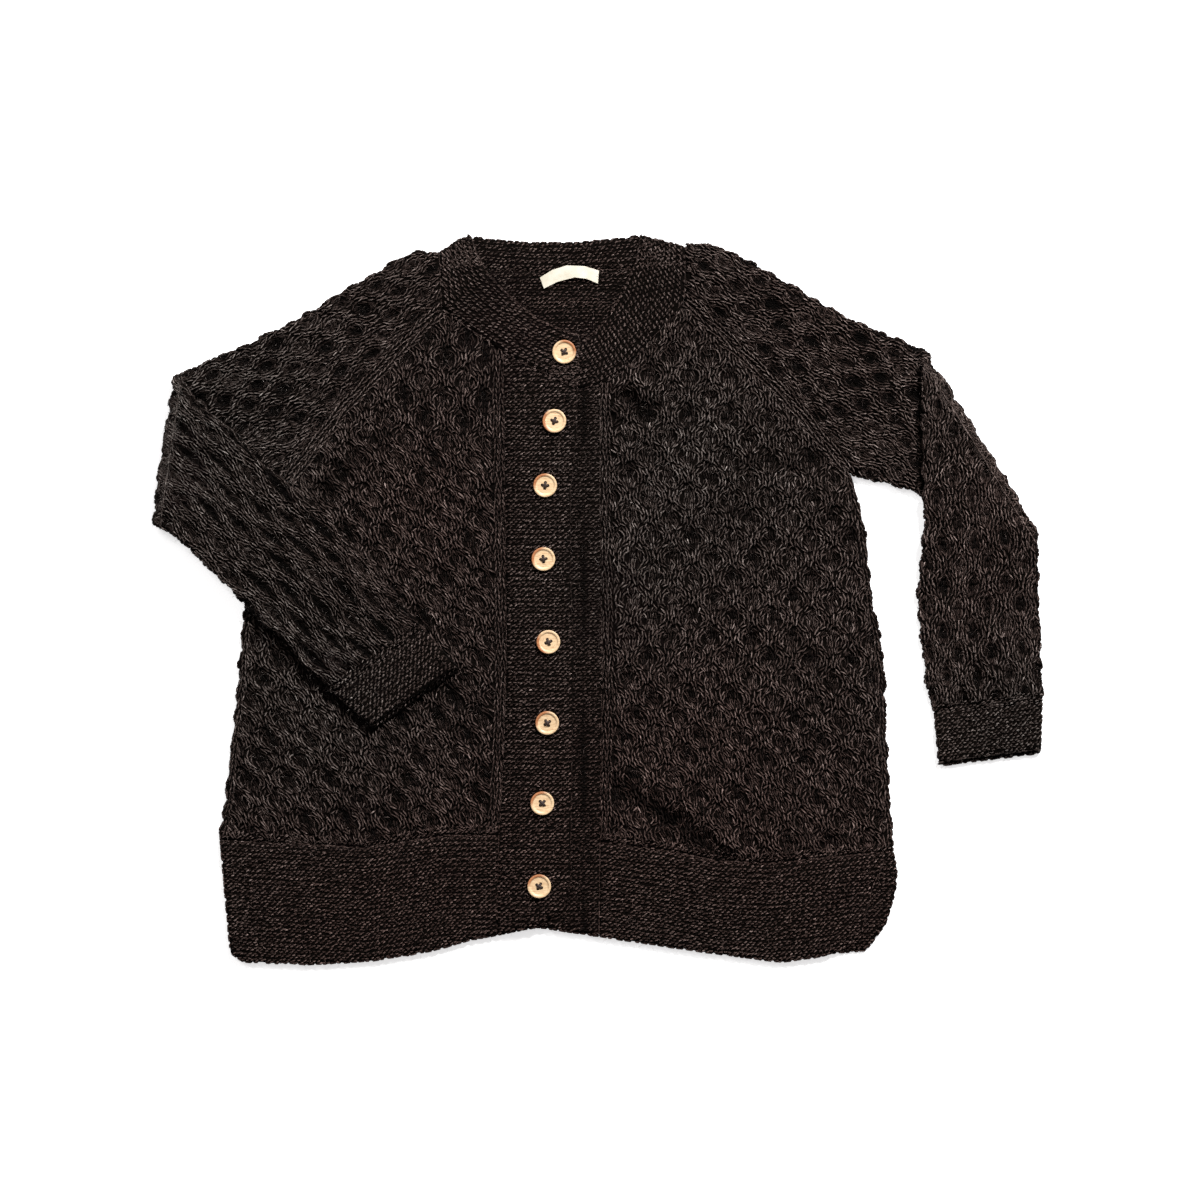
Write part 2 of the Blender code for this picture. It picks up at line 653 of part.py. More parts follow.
def neck_label(ribbon):
    # An arched strip on the back neck's inside, free between its sewn ends
    width, depth = LABEL_SIZE
    steps = 8
    sections = []
    for i in range(steps + 1):
        share = 2 * i / steps - 1
        x = LABEL_CENTRE[0] + share * width / 2
        y = LABEL_CENTRE[1] + LABEL_ARCH * (1 - share**2)
        low = BAND + LAYER_GAP + LABEL_BOW * (1 - share**2)
        high = low + LABEL_THICK
        ends = (y - depth / 2, y + depth / 2)
        sections.append([(x, ends[0], low), (x, ends[1], low), (x, ends[1], high), (x, ends[0], high)])
    points = [corner for section in sections for corner in section]
    faces = [(0, 1, 2, 3), tuple(len(points) - k for k in (1, 2, 3, 4))]
    for i in range(steps):
        for k in range(4):
            step = (k + 1) % 4
            faces.append((4 * i + k, 4 * i + 4 + k, 4 * i + 4 + step, 4 * i + step))
    solid("neck_label", points, faces, ribbon)


def centre_on_origin():
    # An empty in the middle of the laid garment carries every piece, and goes to the origin
    bpy.context.view_layer.update()
    pieces = [item for item in bpy.data.objects if item.type == "MESH"]
    corners = [item.matrix_world @ Vector(corner) for item in pieces for corner in item.bound_box]
    low = [min(corner[k] for corner in corners) for k in range(3)]
    high = [max(corner[k] for corner in corners) for k in range(3)]
    middle = bpy.data.objects.new("cardigan", None)
    bpy.context.collection.objects.link(middle)
    for item in pieces:
        item.parent = middle
    middle.location = (-(low[0] + high[0]) / 2, -(low[1] + high[1]) / 2, 0)


def main():
    clear_scene()
    knit = material("honeycomb_knit", KNIT_COLOUR, 0.95)
    band = material("garter_knit", BAND_COLOUR, 0.95)
    body(knit, band)
    neckband(band)
    for side in SLEEVES:
        sleeve_and_cuff(side, knit, band)
    buttons(material("turned_wood", WOOD_COLOUR, 0.45))
    neck_label(material("label_cotton", LABEL_COLOUR, 0.8))
    centre_on_origin()


main()
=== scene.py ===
import math
import bpy
import numpy as np
from mathutils import Matrix, Vector
from mathutils.bvhtree import BVHTree


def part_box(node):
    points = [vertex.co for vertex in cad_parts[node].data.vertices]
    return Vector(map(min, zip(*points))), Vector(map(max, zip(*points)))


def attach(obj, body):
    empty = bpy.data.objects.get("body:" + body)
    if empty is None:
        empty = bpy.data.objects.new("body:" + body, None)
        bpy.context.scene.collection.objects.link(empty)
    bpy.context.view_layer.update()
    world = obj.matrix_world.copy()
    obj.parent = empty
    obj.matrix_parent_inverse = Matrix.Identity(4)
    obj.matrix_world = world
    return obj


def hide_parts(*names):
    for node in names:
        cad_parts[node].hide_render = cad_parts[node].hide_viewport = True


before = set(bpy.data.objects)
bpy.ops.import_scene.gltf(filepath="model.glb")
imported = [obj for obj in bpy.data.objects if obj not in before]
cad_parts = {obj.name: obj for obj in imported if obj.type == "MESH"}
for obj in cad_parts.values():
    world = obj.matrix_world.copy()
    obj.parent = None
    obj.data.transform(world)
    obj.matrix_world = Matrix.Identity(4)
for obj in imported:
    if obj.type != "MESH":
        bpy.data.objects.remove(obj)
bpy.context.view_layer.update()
chance = np.random.default_rng(11)
print("frame loaded")

# The pattern is drawn in millimetres, as the garment's pieces are cut. Its zero lies a little off
# the scene's, so the middle of the top button tells how far.
topButton = (-32.1, 222.5)
buttonLow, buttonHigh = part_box("button_1")
patternShift = ((buttonLow.x + buttonHigh.x) * 500 - topButton[0],
                (buttonLow.y + buttonHigh.y) * 500 - topButton[1], 0.0)


def toScene(points):
    return (np.asarray(points, float) + patternShift) * 0.001


def toPattern(points):
    return np.asarray(points, float) * 1000 - patternShift


# Materials


def linear(code):
    # An sRGB hex colour as linear red, green, blue and alpha
    parts = [int(code[i:i + 2], 16) / 255 for i in (1, 3, 5)]
    return (*[c / 12.92 if c <= 0.04045 else ((c + 0.055) / 1.055) ** 2.4 for c in parts], 1.0)


def feed(tree, node, values):
    # Each value is a property, a socket's own value, or another node's output to link
    for name, value in values.items():
        if isinstance(value, bpy.types.NodeSocket):
            tree.links.new(value, node.inputs[name])
        elif isinstance(name, str) and hasattr(node, name):
            setattr(node, name, value)
        else:
            node.inputs[name].default_value = value


def addNode(tree, kind, result, values):
    # One node, of which the wanted output is given back
    node = tree.nodes.new("ShaderNode" + kind)
    feed(tree, node, values)
    return node.outputs[result]


def noise(tree, place, scale, detail, roughness=0.5):
    values = {"Vector": place, "Scale": scale, "Detail": detail, "Roughness": roughness}
    return addNode(tree, "TexNoise", "Fac", values)


def bump(tree, height, strength, distance, **more):
    values = {"Height": height, "Strength": strength, "Distance": distance, **more}
    return addNode(tree, "Bump", "Normal", values)


def multiplied(tree, share, colour, by):
    values = {"data_type": "RGBA", "blend_type": "MULTIPLY", 0: share, 6: colour, 7: by}
    return addNode(tree, "Mix", 2, values)


def colourRamp(tree, share, stops):
    node = tree.nodes.new("ShaderNodeValToRGB")
    feed(tree, node, {"Fac": share})
    elements = node.color_ramp.elements
    while len(elements) < len(stops):
        elements.new(0.5)
    for element, (place, code) in zip(elements, stops):
        element.position = place
        element.color = linear(code)
    return node.outputs["Color"]


def newMaterial(name):
    made = bpy.data.materials.new(name)
    made.use_nodes = True
    tree = made.node_tree
    return made, tree, tree.nodes["Principled BSDF"]


wool = {
    "rope": ((0.24, "#030100"), (0.38, "#17100d"), (0.50, "#3d3430"), (0.62, "#7a726d"),
             (0.76, "#c8c1bb")),
    # ground: painted shade, near black, for the wool seen between and under the stitches
    "ground": ((0.35, "#020100"), (0.55, "#060302"), (0.75, "#0f0907")),
    "redTint": "#f5dad6",
    "sheen": 0.05,
    "sheenTint": "#8a7c78",
}


def yarnMaterial():
    # Spun heathered wool: dark and pale fibres carded together, so each strand is streaked along
    # its length. It gives the eye a dull, dry, slightly hairy dark brown, redder in broad patches.
    made, tree, shader = newMaterial("heatheredWoolYarn")
    uv = addNode(tree, "UVMap", "UV", {"uv_map": "yarn"})
    place = addNode(tree, "TexCoord", "Object", {})
    warm = addNode(tree, "Attribute", "Fac", {"attribute_name": "warm"})
    tone = addNode(tree, "Attribute", "Fac", {"attribute_name": "tone"})
    # fibres 0.7 mm across the strand and 5 mm along it, as coarse as they need to be to show
    streaks = addNode(tree, "Mapping", "Vector", {"Vector": uv, "Scale": (1 / 0.7, 1 / 5.0, 1.0)})
    fibres = noise(tree, streaks, 1.0, 3.0, 0.7)
    flecks = noise(tree, place, 520.0, 2.0, 0.6)
    most = addNode(tree, "Math", "Value", {"operation": "MULTIPLY", 0: fibres, 1: 0.74})
    mixed = addNode(tree, "Math", "Value", {"operation": "MULTIPLY_ADD", 0: flecks, 1: 0.26, 2: most})
    toned = addNode(tree, "Math", "Value", {"operation": "ADD", 0: mixed, 1: tone})
    tinted = multiplied(tree, warm, colourRamp(tree, toned, wool["rope"]), linear(wool["redTint"]))
    # two plies twist round each other, their ridges 1.7 mm apart, the groove between them painted darker as
    # shade
    plies = addNode(tree, "Mapping", "Vector", {"Vector": uv, "Rotation": (0, 0, 0.28)})
    twist = addNode(tree, "TexWave", "Fac", {"Vector": plies, "Scale": 0.185, "Distortion": 0.8,
                                             "Detail": 1.0})
    grooveShade = addNode(tree, "MapRange", "Result", {"Value": twist, "From Min": 0.0, "From Max": 0.6,
                                                  "To Min": 0.5})
    ridges = bump(tree, twist, 0.6, 0.0004)
    feed(tree, shader, {
        "Base Color": multiplied(tree, 1.0, tinted, grooveShade),
        "Normal": bump(tree, fibres, 0.7, 0.0003, Normal=ridges),
        "Roughness": 0.9,
        "Specular IOR Level": 0.06,
        "Sheen Weight": wool["sheen"],
        "Sheen Roughness": 0.45,
        "Sheen Tint": linear(wool["sheenTint"]),
    })
    return made


def shadedGroundMaterial():
    # The wool seen deep between the stitches, at the edges and underneath, painted near black as
    # the shade there, with its loops, 5.2 mm apart, as bump
    made, tree, shader = newMaterial("woolKnitGround")
    place = addNode(tree, "TexCoord", "Object", {})
    flecks = noise(tree, place, 620.0, 3.0, 0.7)
    loops = addNode(tree, "TexVoronoi", "Distance", {"Vector": place, "Scale": 190.0,
                                                     "Randomness": 0.45})
    feed(tree, shader, {
        "Base Color": colourRamp(tree, flecks, wool["ground"]),
        "Normal": bump(tree, loops, 0.9, 0.0012, invert=True),
        "Roughness": 0.95,
        "Specular IOR Level": 0.05,
    })
    return made


yarnWool, shadedGroundWool = yarnMaterial(), shadedGroundMaterial()
print("wool mixed")


# Shells: each cloth piece keeps its solid's form as a thin wall, cut fine enough to shape


def addObject(name, data):
    made = bpy.data.objects.new(name, data)
    bpy.context.scene.collection.objects.link(made)
    return made


def pick(*items):
    # Selects these objects alone, the first as the active one
    bpy.ops.object.select_all(action="DESELECT")
    for item in items:
        item.select_set(True)
    bpy.context.view_layer.objects.active = items[0]


def enter(mode):
    bpy.ops.object.mode_set(mode=mode)


def readAll(items, field, width, kind=float):
    # One field of all vertices, edges or triangles, a row for each
    values = np.zeros(len(items) * width, kind)
    items.foreach_get(field, values)
    return values.reshape(-1, width)


def readPoints(mesh):
    return readAll(mesh.vertices, "co", 3)


def upward(mesh):
    return readAll(mesh.vertices, "normal", 3)


def patternPoints(shell):
    return toPattern(readPoints(shell.data))


def movePoints(shell, spots):
    shell.data.vertices.foreach_set("co", toScene(spots).ravel())
    shell.data.update()


def shellOf(node, name, longest):
    shell = addObject(name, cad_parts[node].data.copy())
    mesh = shell.data
    mesh.materials.clear()
    mesh.materials.append(shadedGroundWool)
    pick(shell)
    enter("EDIT")
    bpy.ops.mesh.select_mode(type="EDGE")
    bpy.ops.mesh.select_all(action="SELECT")
    bpy.ops.mesh.remove_doubles(threshold=0.00001)
    bpy.ops.mesh.customdata_custom_splitnormals_clear()
    enter("OBJECT")
    for step in range(5):
        spots = readPoints(mesh)
        ends = readAll(mesh.edges, "vertices", 2, int)
        long = np.linalg.norm(spots[ends[:, 0]] - spots[ends[:, 1]], axis=1) > longest * 0.001
        if not long.any():
            break
        enter("EDIT")
        bpy.ops.mesh.select_all(action="DESELECT")
        enter("OBJECT")
        mesh.edges.foreach_set("select", long)
        enter("EDIT")
        bpy.ops.mesh.subdivide(number_cuts=1)
        bpy.ops.mesh.select_all(action="SELECT")
        bpy.ops.mesh.quads_convert_to_tris()
        enter("OBJECT")
    return shell


def softenTop(shell, rounds):
    # Evens the height of the top, which the solid has in flat facets
    mesh = shell.data
    ends = readAll(mesh.edges, "vertices", 2, int)
    up = upward(mesh)[:, 2] > 0.55
    ends = ends[up[ends[:, 0]] & up[ends[:, 1]]]
    spots = readPoints(mesh)
    count = np.bincount(ends.ravel(), minlength=len(spots)).astype(float)
    for step in range(rounds):
        total = np.bincount(ends[:, 0], spots[ends[:, 1], 2], len(spots))
        total += np.bincount(ends[:, 1], spots[ends[:, 0], 2], len(spots))
        spots[:, 2] = np.where(count > 2, (spots[:, 2] + total) / (count + 1), spots[:, 2])
    mesh.vertices.foreach_set("co", spots.ravel())
    mesh.update()


def reliefTop(shell, height):
    # Moves the top up or down by height(x, y, z) in millimetres
    spots = patternPoints(shell)
    share = np.clip((upward(shell.data)[:, 2] - 0.3) / 0.5, 0, 1)
    spots[:, 2] += share * height(spots[:, 0], spots[:, 1], spots[:, 2])
    spots[:, 2] = np.maximum(spots[:, 2], 0)
    movePoints(shell, spots)


def frillEdge(shell, reach, pitch):
    # The standing edge of a piece swells where a row of stitches ends, as handknitting does
    spots = patternPoints(shell)
    normals = upward(shell.data)
    flat = normals[:, :2] / np.maximum(np.linalg.norm(normals[:, :2], axis=1, keepdims=True), 1e-6)
    share = np.clip((0.85 - np.abs(normals[:, 2])) / 0.5, 0, 1) * (spots[:, 2] > 0.4)
    for line in ("buttonhole", "button", "rightHem", "leftHem", "rightRaglan", "leftRaglan"):
        share *= np.clip((lineDistance(spots[:, :2], seams[line]) - 3) / 6, 0, 1)
    turn = 2 * np.pi / pitch
    wave = np.sin(spots[:, 0] * turn + 1.3 * np.sin(spots[:, 1] * turn * 0.6))
    wave += np.sin(spots[:, 1] * turn * 0.9 + 1.7 * np.sin(spots[:, 0] * turn * 0.5))
    spots[:, :2] += flat * (share * reach * (0.25 + 0.5 * wave))[:, None]
    movePoints(shell, spots)


def softenCorners(shell, corners, reach):
    # Takes the points off corners that stand towards the collar, and fills the notches beside them
    spots = patternPoints(shell)
    for x, y, drop in corners:
        away = np.linalg.norm(spots[:, :2] - (x, y), axis=1) / reach
        spots[:, 1] -= drop * np.exp(-away * away)
    movePoints(shell, spots)


def surfaceOf(shell):
    shell.data.calc_loop_triangles()
    corners = readAll(shell.data.loop_triangles, "vertices", 3, int)
    spots = patternPoints(shell)
    return BVHTree.FromPolygons(spots.tolist(), corners.tolist()), spots.min(0), spots.max(0)


def heightOn(surface, points):
    # Height of the top under each point, not a number where the piece isn't
    tree, low, high = surface
    flat = np.asarray(points, float).reshape(-1, 2)
    found = np.full(len(flat), np.nan)
    inside = ((flat > low[:2]) & (flat < high[:2])).all(1)
    down = Vector((0, 0, -1))
    for i in np.nonzero(inside)[0]:
        hit = tree.ray_cast(Vector((flat[i, 0], flat[i, 1], 60.0)), down)
        if hit[0] is not None:
            found[i] = hit[0].z
    return found.reshape(np.asarray(points).shape[:-1])


# Pattern of the garment


# "cell" is the forearm's, which is pulled longer than the upper arm's
sleeves = {
    "right": {"underarm": (-279, 108), "slope": 29.0, "hand": -1, "reach": 0, "fold": (37, 130),
              "angle": -52.9, "length": (348, 364), "cell": (24.5, 52.0)},
    "left": {"underarm": (224, 114), "slope": 28.0, "hand": 1, "reach": -10, "fold": (6, 121),
             "angle": -30.0, "length": (325, 333), "cell": (28.0, 40.0)},
}
cut = {
    "bodyCell": (36.0, 36.0),
    "sleeveCell": (27.0, 34.0),
    "raglan": ((0, 0), (-76, 33), (-150, 56), (-194, 68), (-216, 113)),
    "wrist": (33, 129),
    "foldHeight": 7.7,
    "foldRadius": 4.4,
    "cuffDepth": 43.0,
    "wristRows": 8.0,  # how far the garter stitch goes on above the cuff's seam
    "forearmAbove": 11.0,  # a sleeve's top is its forearm above this height
    "forearmBelow": 63.0,  # or nearer the hem than this
}


def laid(arm, u, v):
    slope = math.radians(arm["slope"])
    x = arm["underarm"][0] + arm["hand"] * (u * math.cos(slope) + v * math.sin(slope))
    y = arm["underarm"][1] - u * math.sin(slope) + v * math.cos(slope)
    return np.stack((x, y), -1)


def pastFold(arm, u, v):
    angle = math.radians(arm["angle"])
    return -(u - arm["fold"][0]) * math.sin(angle) + (v - arm["fold"][1]) * math.cos(angle)


def foldedOver(arm, u, v):
    # Where the forearm lies once the sleeve is folded at the elbow
    angle = math.radians(arm["angle"])
    arc = math.pi * cut["foldRadius"]
    away = pastFold(arm, u, v)
    roll = cut["foldHeight"] * np.sin(np.clip(away / cut["foldRadius"], 0, math.pi))
    move = np.where(away > arc, arc - away, roll) - away
    return laid(arm, u - move * math.sin(angle), v + move * math.cos(angle))


def unlaid(arm, x, y):
    slope = math.radians(arm["slope"])
    across = (x - arm["underarm"][0]) * arm["hand"]
    up = y - arm["underarm"][1]
    return (across * math.cos(slope) - up * math.sin(slope),
            across * math.sin(slope) + up * math.cos(slope))


def unfolded(arm, x, y):
    angle = math.radians(arm["angle"])
    u, v = unlaid(arm, x, y)
    turned = pastFold(arm, u, v)
    move = turned - (math.pi * cut["foldRadius"] - turned)
    return u + move * math.sin(angle), v - move * math.cos(angle)


def onForearm(y, z):
    return (z > cut["forearmAbove"]) | (y < cut["forearmBelow"])


def cellField(a, b, cell):
    # 1 in the middle of a honeycomb cell and -1 where two ropes touch
    return np.cos(2 * np.pi * (a / cell[0] - 0.75)) * np.cos(2 * np.pi * b / cell[1])


def pitAt(a, b, cell):
    # 1 in the middle of a honeycomb cell and 0 on the ropes round it
    share = np.clip((cellField(a, b, cell) - 0.05) / 0.8, 0, 1)
    return share * share * (3 - 2 * share)


def cellShadeAt(a, b, cell, across, along):
    # Painted shade: 1 in a cell's middle, falling off sooner where the powers are greater, each cell its
    # own
    acrossShare = 0.5 + 0.5 * np.cos(2 * np.pi * (a / cell[0] - 0.75))
    alongShare = 0.5 + 0.5 * np.cos(2 * np.pi * b / cell[1])
    even = acrossShare ** across * alongShare ** along
    odd = (1 - acrossShare) ** across * (1 - alongShare) ** along
    column = np.where(even > odd, np.round(a / cell[0] - 0.75), np.round(a / cell[0] - 0.25))
    row = np.where(even > odd, np.round(b / cell[1]) * 2, np.round(b / cell[1] - 0.5) * 2 + 1)
    return np.maximum(even, odd) * cellLuck[(column * 73 + row * 151).astype(int) % 997]


def lineDistance(points, line):
    # Distance of each point from a line of straight stretches
    spots = np.asarray(points, float)[..., None, :]
    line = np.asarray(line, float)
    starts, edges = line[:-1], line[1:] - line[:-1]
    share = np.clip(((spots - starts) * edges).sum(-1) / (edges ** 2).sum(-1), 0, 1)
    return np.linalg.norm(spots - (starts + share[..., None] * edges), axis=-1).min(-1)


def spaced(line, pitch, start=0.0):
    # Points along a line, pitch apart, with the line's direction at each
    line = np.asarray(line, float)
    steps = np.linalg.norm(np.diff(line, axis=0), axis=1)
    run = np.concatenate(([0.0], np.cumsum(steps)))
    at = np.arange(start, run[-1], pitch)
    points = np.stack([np.interp(at, run, line[:, i]) for i in (0, 1)], -1)
    nearby = np.stack([np.interp(at + 1.0, run, line[:, i]) - np.interp(at - 1.0, run, line[:, i])
                       for i in (0, 1)], -1)
    length = np.linalg.norm(nearby, axis=1, keepdims=True)
    return points, nearby / np.maximum(length, 1e-6)


def raglanLine(side):
    arm = sleeves[side]
    uv = np.asarray(cut["raglan"], float)
    uv[:, 0] += arm["reach"] * np.minimum(1, -uv[:, 0] / 190)
    return laid(arm, uv[:, 0], uv[:, 1])


seams = {
    "buttonhole": ((-87, 223), (-85.5, 90), (-84, -50), (-87, -144), (-91, -212), (-93, -301)),
    "button": ((0, 193), (0, 90), (2, -50), (0, -218), (-1, -302)),
    "rightSide": ((-279, 108), (-293, 63), (-316, 0), (-321, -36), (-324, -72), (-330, -126),
                  (-335, -180), (-341, -216)),
    "leftSide": ((224, 114), (237, 63), (244, 0), (251, -36), (255, -72), (256, -126), (260, -180),
                 (263, -216)),
    "rightHem": ((-345, -216), (-210, -223), (-140, -212), (-91, -212)),
    "leftHem": ((0, -218), (58, -225), (105, -235), (152, -237), (268, -226)),
    "rightRaglan": raglanLine("right"),
    "leftRaglan": raglanLine("left"),
}

# Stitches: short lengths of yarn, each a closed spindle of a few faces

stitch = {
    "ropeWidth": 5.5,  # one column of V stitches
    "ropeShare": 0.40,  # the widest a rope may be, as a share of its cell
    "rowLength": 5.2,
    "legRadius": 1.14,
    "pitRadius": 0.98,
    "crestLift": 1.1,
    "garterPitch": 4.4,
    "garterRow": 2.35,
    "garterRadius": 1.2,
    "garterReach": 1.9,  # half a purl bump's length
    "chainRadius": 1.05,
    "jitter": 0.42,
    "toneJitter": 0.035,
    "contrast": (-0.16, 0.06),  # painted shade at the sides of a strand and painted highlight along its crest
    # bandContrast: the same painted shade and highlight for the garter bands
    "bandContrast": (-0.11, 0.035),
}
# How much painted shade the stitches behind the ropes get, how much more each cell gets in its
# middle, and how closely that follows the cell across and along
pitShadeTones = {
    "leftFront": (-0.03, 0.15, 5, 4),
    "rightFront": (-0.04, 0.2, 7, 1.2),
    "rightSleeve": (-0.07, 0.38, 4, 3),
    "leftSleeve": (-0.07, 0.38, 4, 3),
    "rightForearm": (-0.08, 0.5, 10, 0.8),
    "leftForearm": (-0.04, 0.19, 4, 3),
}
cellLuck = chance.uniform(0.1, 1.35, 997) ** 1.8


warmSpots = (  # broad patches of redder wool, or greyer where the amount is negative
    ((-185, 70), 125, 0.55), ((-50, -240), 150, 0.55), ((-250, -290), 120, 0.45),
    ((95, 140), 110, -0.38), ((110, -120), 120, 0.3), ((220, -270), 120, 0.45),
    ((-340, 160), 120, -0.5), ((-250, 0), 100, -0.45), ((-30, 260), 90, 0.4),
    ((-250, -120), 90, -0.3), ((190, 250), 100, 0.3), ((340, 40), 110, 0.3),
    ((370, -120), 60, -0.5), ((30, 20), 60, -0.2),
)


def warmth(x, y):
    amount = np.full(np.shape(x), 0.45)
    for (spotX, spotY), reach, share in warmSpots:
        amount = amount + share * np.exp(-((x - spotX) ** 2 + (y - spotY) ** 2) / reach ** 2)
    return np.clip(amount, 0, 1)


def vLegs(points, ahead, width, height):
    # Two legs for each V, in plan: they start together and part towards the next row
    ahead = ahead / np.linalg.norm(ahead, axis=-1, keepdims=True)
    across = np.stack((ahead[:, 1], -ahead[:, 0]), -1)
    reach = np.array([-0.72, -0.26, 0.44, 1.0])
    legs = []
    for hand in (-1, 1):
        part = np.array([0.08, 0.20, 0.33, 0.40]) * hand
        legs.append(points[:, None] + ahead[:, None] * (reach[:, None] * height)
                    + across[:, None] * (part[:, None] * width))
    return np.concatenate(legs)


def addValues(mesh, name, values):
    mesh.attributes.new(name, "FLOAT", "POINT").data.foreach_set("value", values.ravel())


def yarnMesh(name, paths, radii, tones, contrast):
    # Joined mesh of closed spindles: each path's first and last point, and three points round each of
    # the two between them, the first of the three on the crest
    count = len(paths)
    tangent = np.gradient(paths, axis=1)
    tangent /= np.maximum(np.linalg.norm(tangent, axis=-1, keepdims=True), 1e-9)
    side = np.cross(tangent, (0.0, 0.0, 1.0))
    flat = np.linalg.norm(side, axis=-1, keepdims=True)
    side = np.where(flat < 0.05, (1.0, 0.0, 0.0), side / np.maximum(flat, 1e-9))
    top = np.cross(side, tangent)
    turn = 2 * np.pi * (np.arange(3) / 3 + 0.25)
    taper = np.array([1.0, 0.92])
    middle = paths[:, 1:-1, None] + (
        side[:, 1:-1, None] * np.cos(turn)[:, None] + top[:, 1:-1, None] * np.sin(turn)[:, None]
    ) * (radii[:, None, None, None] * taper[:, None, None])
    points = np.concatenate((paths[:, :1], middle.reshape(count, -1, 3), paths[:, -1:]), axis=1)
    faces = []
    for i, j in ((0, 1), (1, 2), (2, 0)):
        faces += [(0, 1 + j, 1 + i), (7, 4 + i, 4 + j), (1 + i, 1 + j, 4 + j), (1 + i, 4 + j, 4 + i)]
    faces = (np.arange(count)[:, None, None] * 8 + np.array(faces)).reshape(-1, 3)
    mesh = bpy.data.meshes.new(name)
    mesh.from_pydata(toScene(points.reshape(-1, 3)).tolist(), [], faces.tolist())
    length = np.linalg.norm(paths[:, -1] - paths[:, 0], axis=-1)
    around = np.array([0.5, 0, 1 / 3, 2 / 3, 0, 1 / 3, 2 / 3, 0.5])
    along = np.array([0, 1 / 3, 1 / 3, 1 / 3, 2 / 3, 2 / 3, 2 / 3, 1])
    uv = np.stack((around * 2 * np.pi * radii[:, None], along * length[:, None]), -1)
    uv += chance.uniform(0, 900, (count, 1, 2))
    layer = mesh.uv_layers.new(name="yarn")
    layer.data.foreach_set("uv", uv.reshape(-1, 2)[faces.ravel()].ravel())
    # light comes from above, so a strand is pale along its crest and dark where it meets the next
    low, high = contrast
    crest = np.array([low, high, low, low, high, low, low, low])
    tones = tones + chance.normal(0, stitch["toneJitter"], count)
    addValues(mesh, "tone", tones[:, None] + crest)
    addValues(mesh, "warm", warmth(points[..., 0], points[..., 1]))
    mesh.materials.append(yarnWool)
    mesh.polygons.foreach_set("use_smooth", np.ones(len(mesh.polygons), bool))
    return addObject(name, mesh)


def lowered(surface, legs, heights):
    # Gives the plan paths their height over the piece; a leg whose middle is off the piece goes
    height = heightOn(surface, legs)
    keep = ~np.isnan(height[:, 1:-1]).any(1)
    legs, height = legs[keep], height[keep]
    middle = np.nanmean(height[:, 1:-1], axis=1, keepdims=True)
    height = np.where(np.isnan(height), middle - 1.2, height)
    height += heights[keep]
    return np.concatenate((legs, height[..., None]), -1), keep


legHeights = np.array([-0.7, 0.55, 0.6, -0.5])
beadHeights = np.array([-0.6, 0.35, 0.35, -0.6])


def ropeColumns(cell, acrossFrom, acrossTo, alongFrom, alongTo):
    # Places and directions of the V stitches along the ropes of the honeycomb, as (across, along),
    # with their width and height
    width, height = cell
    rope = min(2 * stitch["ropeWidth"], width * stitch["ropeShare"])
    swing = width / 4 - rope * 0.43
    first, last = math.floor(acrossFrom * 2 / width), math.ceil(acrossTo * 2 / width)
    step = height / round(height / stitch["rowLength"])
    along = np.arange(math.floor(alongFrom / step), math.ceil(alongTo / step)) * step
    places, ahead = [], []
    for k in range(first, last + 1):
        sign = 1 if k % 2 == 0 else -1
        for column in (-1, 1):
            b = along + chance.normal(0, 0.15, len(along)) + (0.5 * step if column > 0 else 0)

            def centre(at):
                return k * width / 2 + sign * swing * np.tanh(1.5 * np.cos(2 * np.pi * at / height)) / 0.905

            a = centre(b)
            slope = (centre(b + 1.0) - centre(b - 1.0)) / 2
            run = np.stack((slope + chance.normal(0, 0.12, len(slope)), np.ones_like(slope)), -1)
            run /= np.linalg.norm(run, axis=1, keepdims=True)
            side = np.stack((run[:, 1], -run[:, 0]), -1)
            spot = np.stack((a, b), -1) + side * (column * rope / 4)
            places.append(spot + chance.normal(0, stitch["jitter"], spot.shape))
            ahead.append(run)
    return np.concatenate(places), np.concatenate(ahead), rope / 2, step


def pitColumns(cell, acrossFrom, acrossTo, alongFrom, alongTo):
    # The stitches that lie deep in each cell, behind the ropes
    width, height = cell
    places = []
    for row in range(math.floor(alongFrom * 2 / height), math.ceil(alongTo * 2 / height) + 1):
        start = 0.75 if row % 2 == 0 else 0.25
        for column in range(math.floor(acrossFrom / width) - 1, math.ceil(acrossTo / width) + 1):
            for shift in (-0.105, 0.0, 0.105):
                for lift in (-0.22, -0.08, 0.06, 0.2):
                    places.append(((column + start + shift) * width, (row / 2 + lift) * height))
    places = np.array(places)
    places = places + chance.normal(0, 0.5, places.shape)
    return places, np.column_stack((chance.normal(0, 0.4, len(places)), np.ones(len(places))))


shells = {}
surfaces = {}


def shown(points, own):
    # True where nothing lies over this piece's top
    mine = heightOn(surfaces[own], points)
    clear = ~np.isnan(mine)
    for name, surface in surfaces.items():
        if name != own:
            clear &= ~(heightOn(surface, points) > mine)
    return clear


# Which pieces stand in the light of which, and how the shade falls off away from their edge
shade = {"under": {"rightFront": ("rightSleeve", "rightCuff"), "leftSleeve": ("leftSleeve",)},
         "towardsLight": (0.62, 0.78), "reaches": (2.5, 5.0, 8.5), "tone": -0.07, "above": 3.5,
         "lowEdge": -0.12, "lowEdgeWithin": 6, "lowEdgeFrom": -330}


def shadeAt(points, own):
    mine = heightOn(surfaces[own], points)
    tone = np.zeros(len(points))
    for name in shade["under"].get(own, ()):
        for reach in shade["reaches"]:
            over = heightOn(surfaces[name], points + np.array(shade["towardsLight"]) * reach)
            tone += np.where(over > mine + shade["above"], shade["tone"], 0)
    return tone


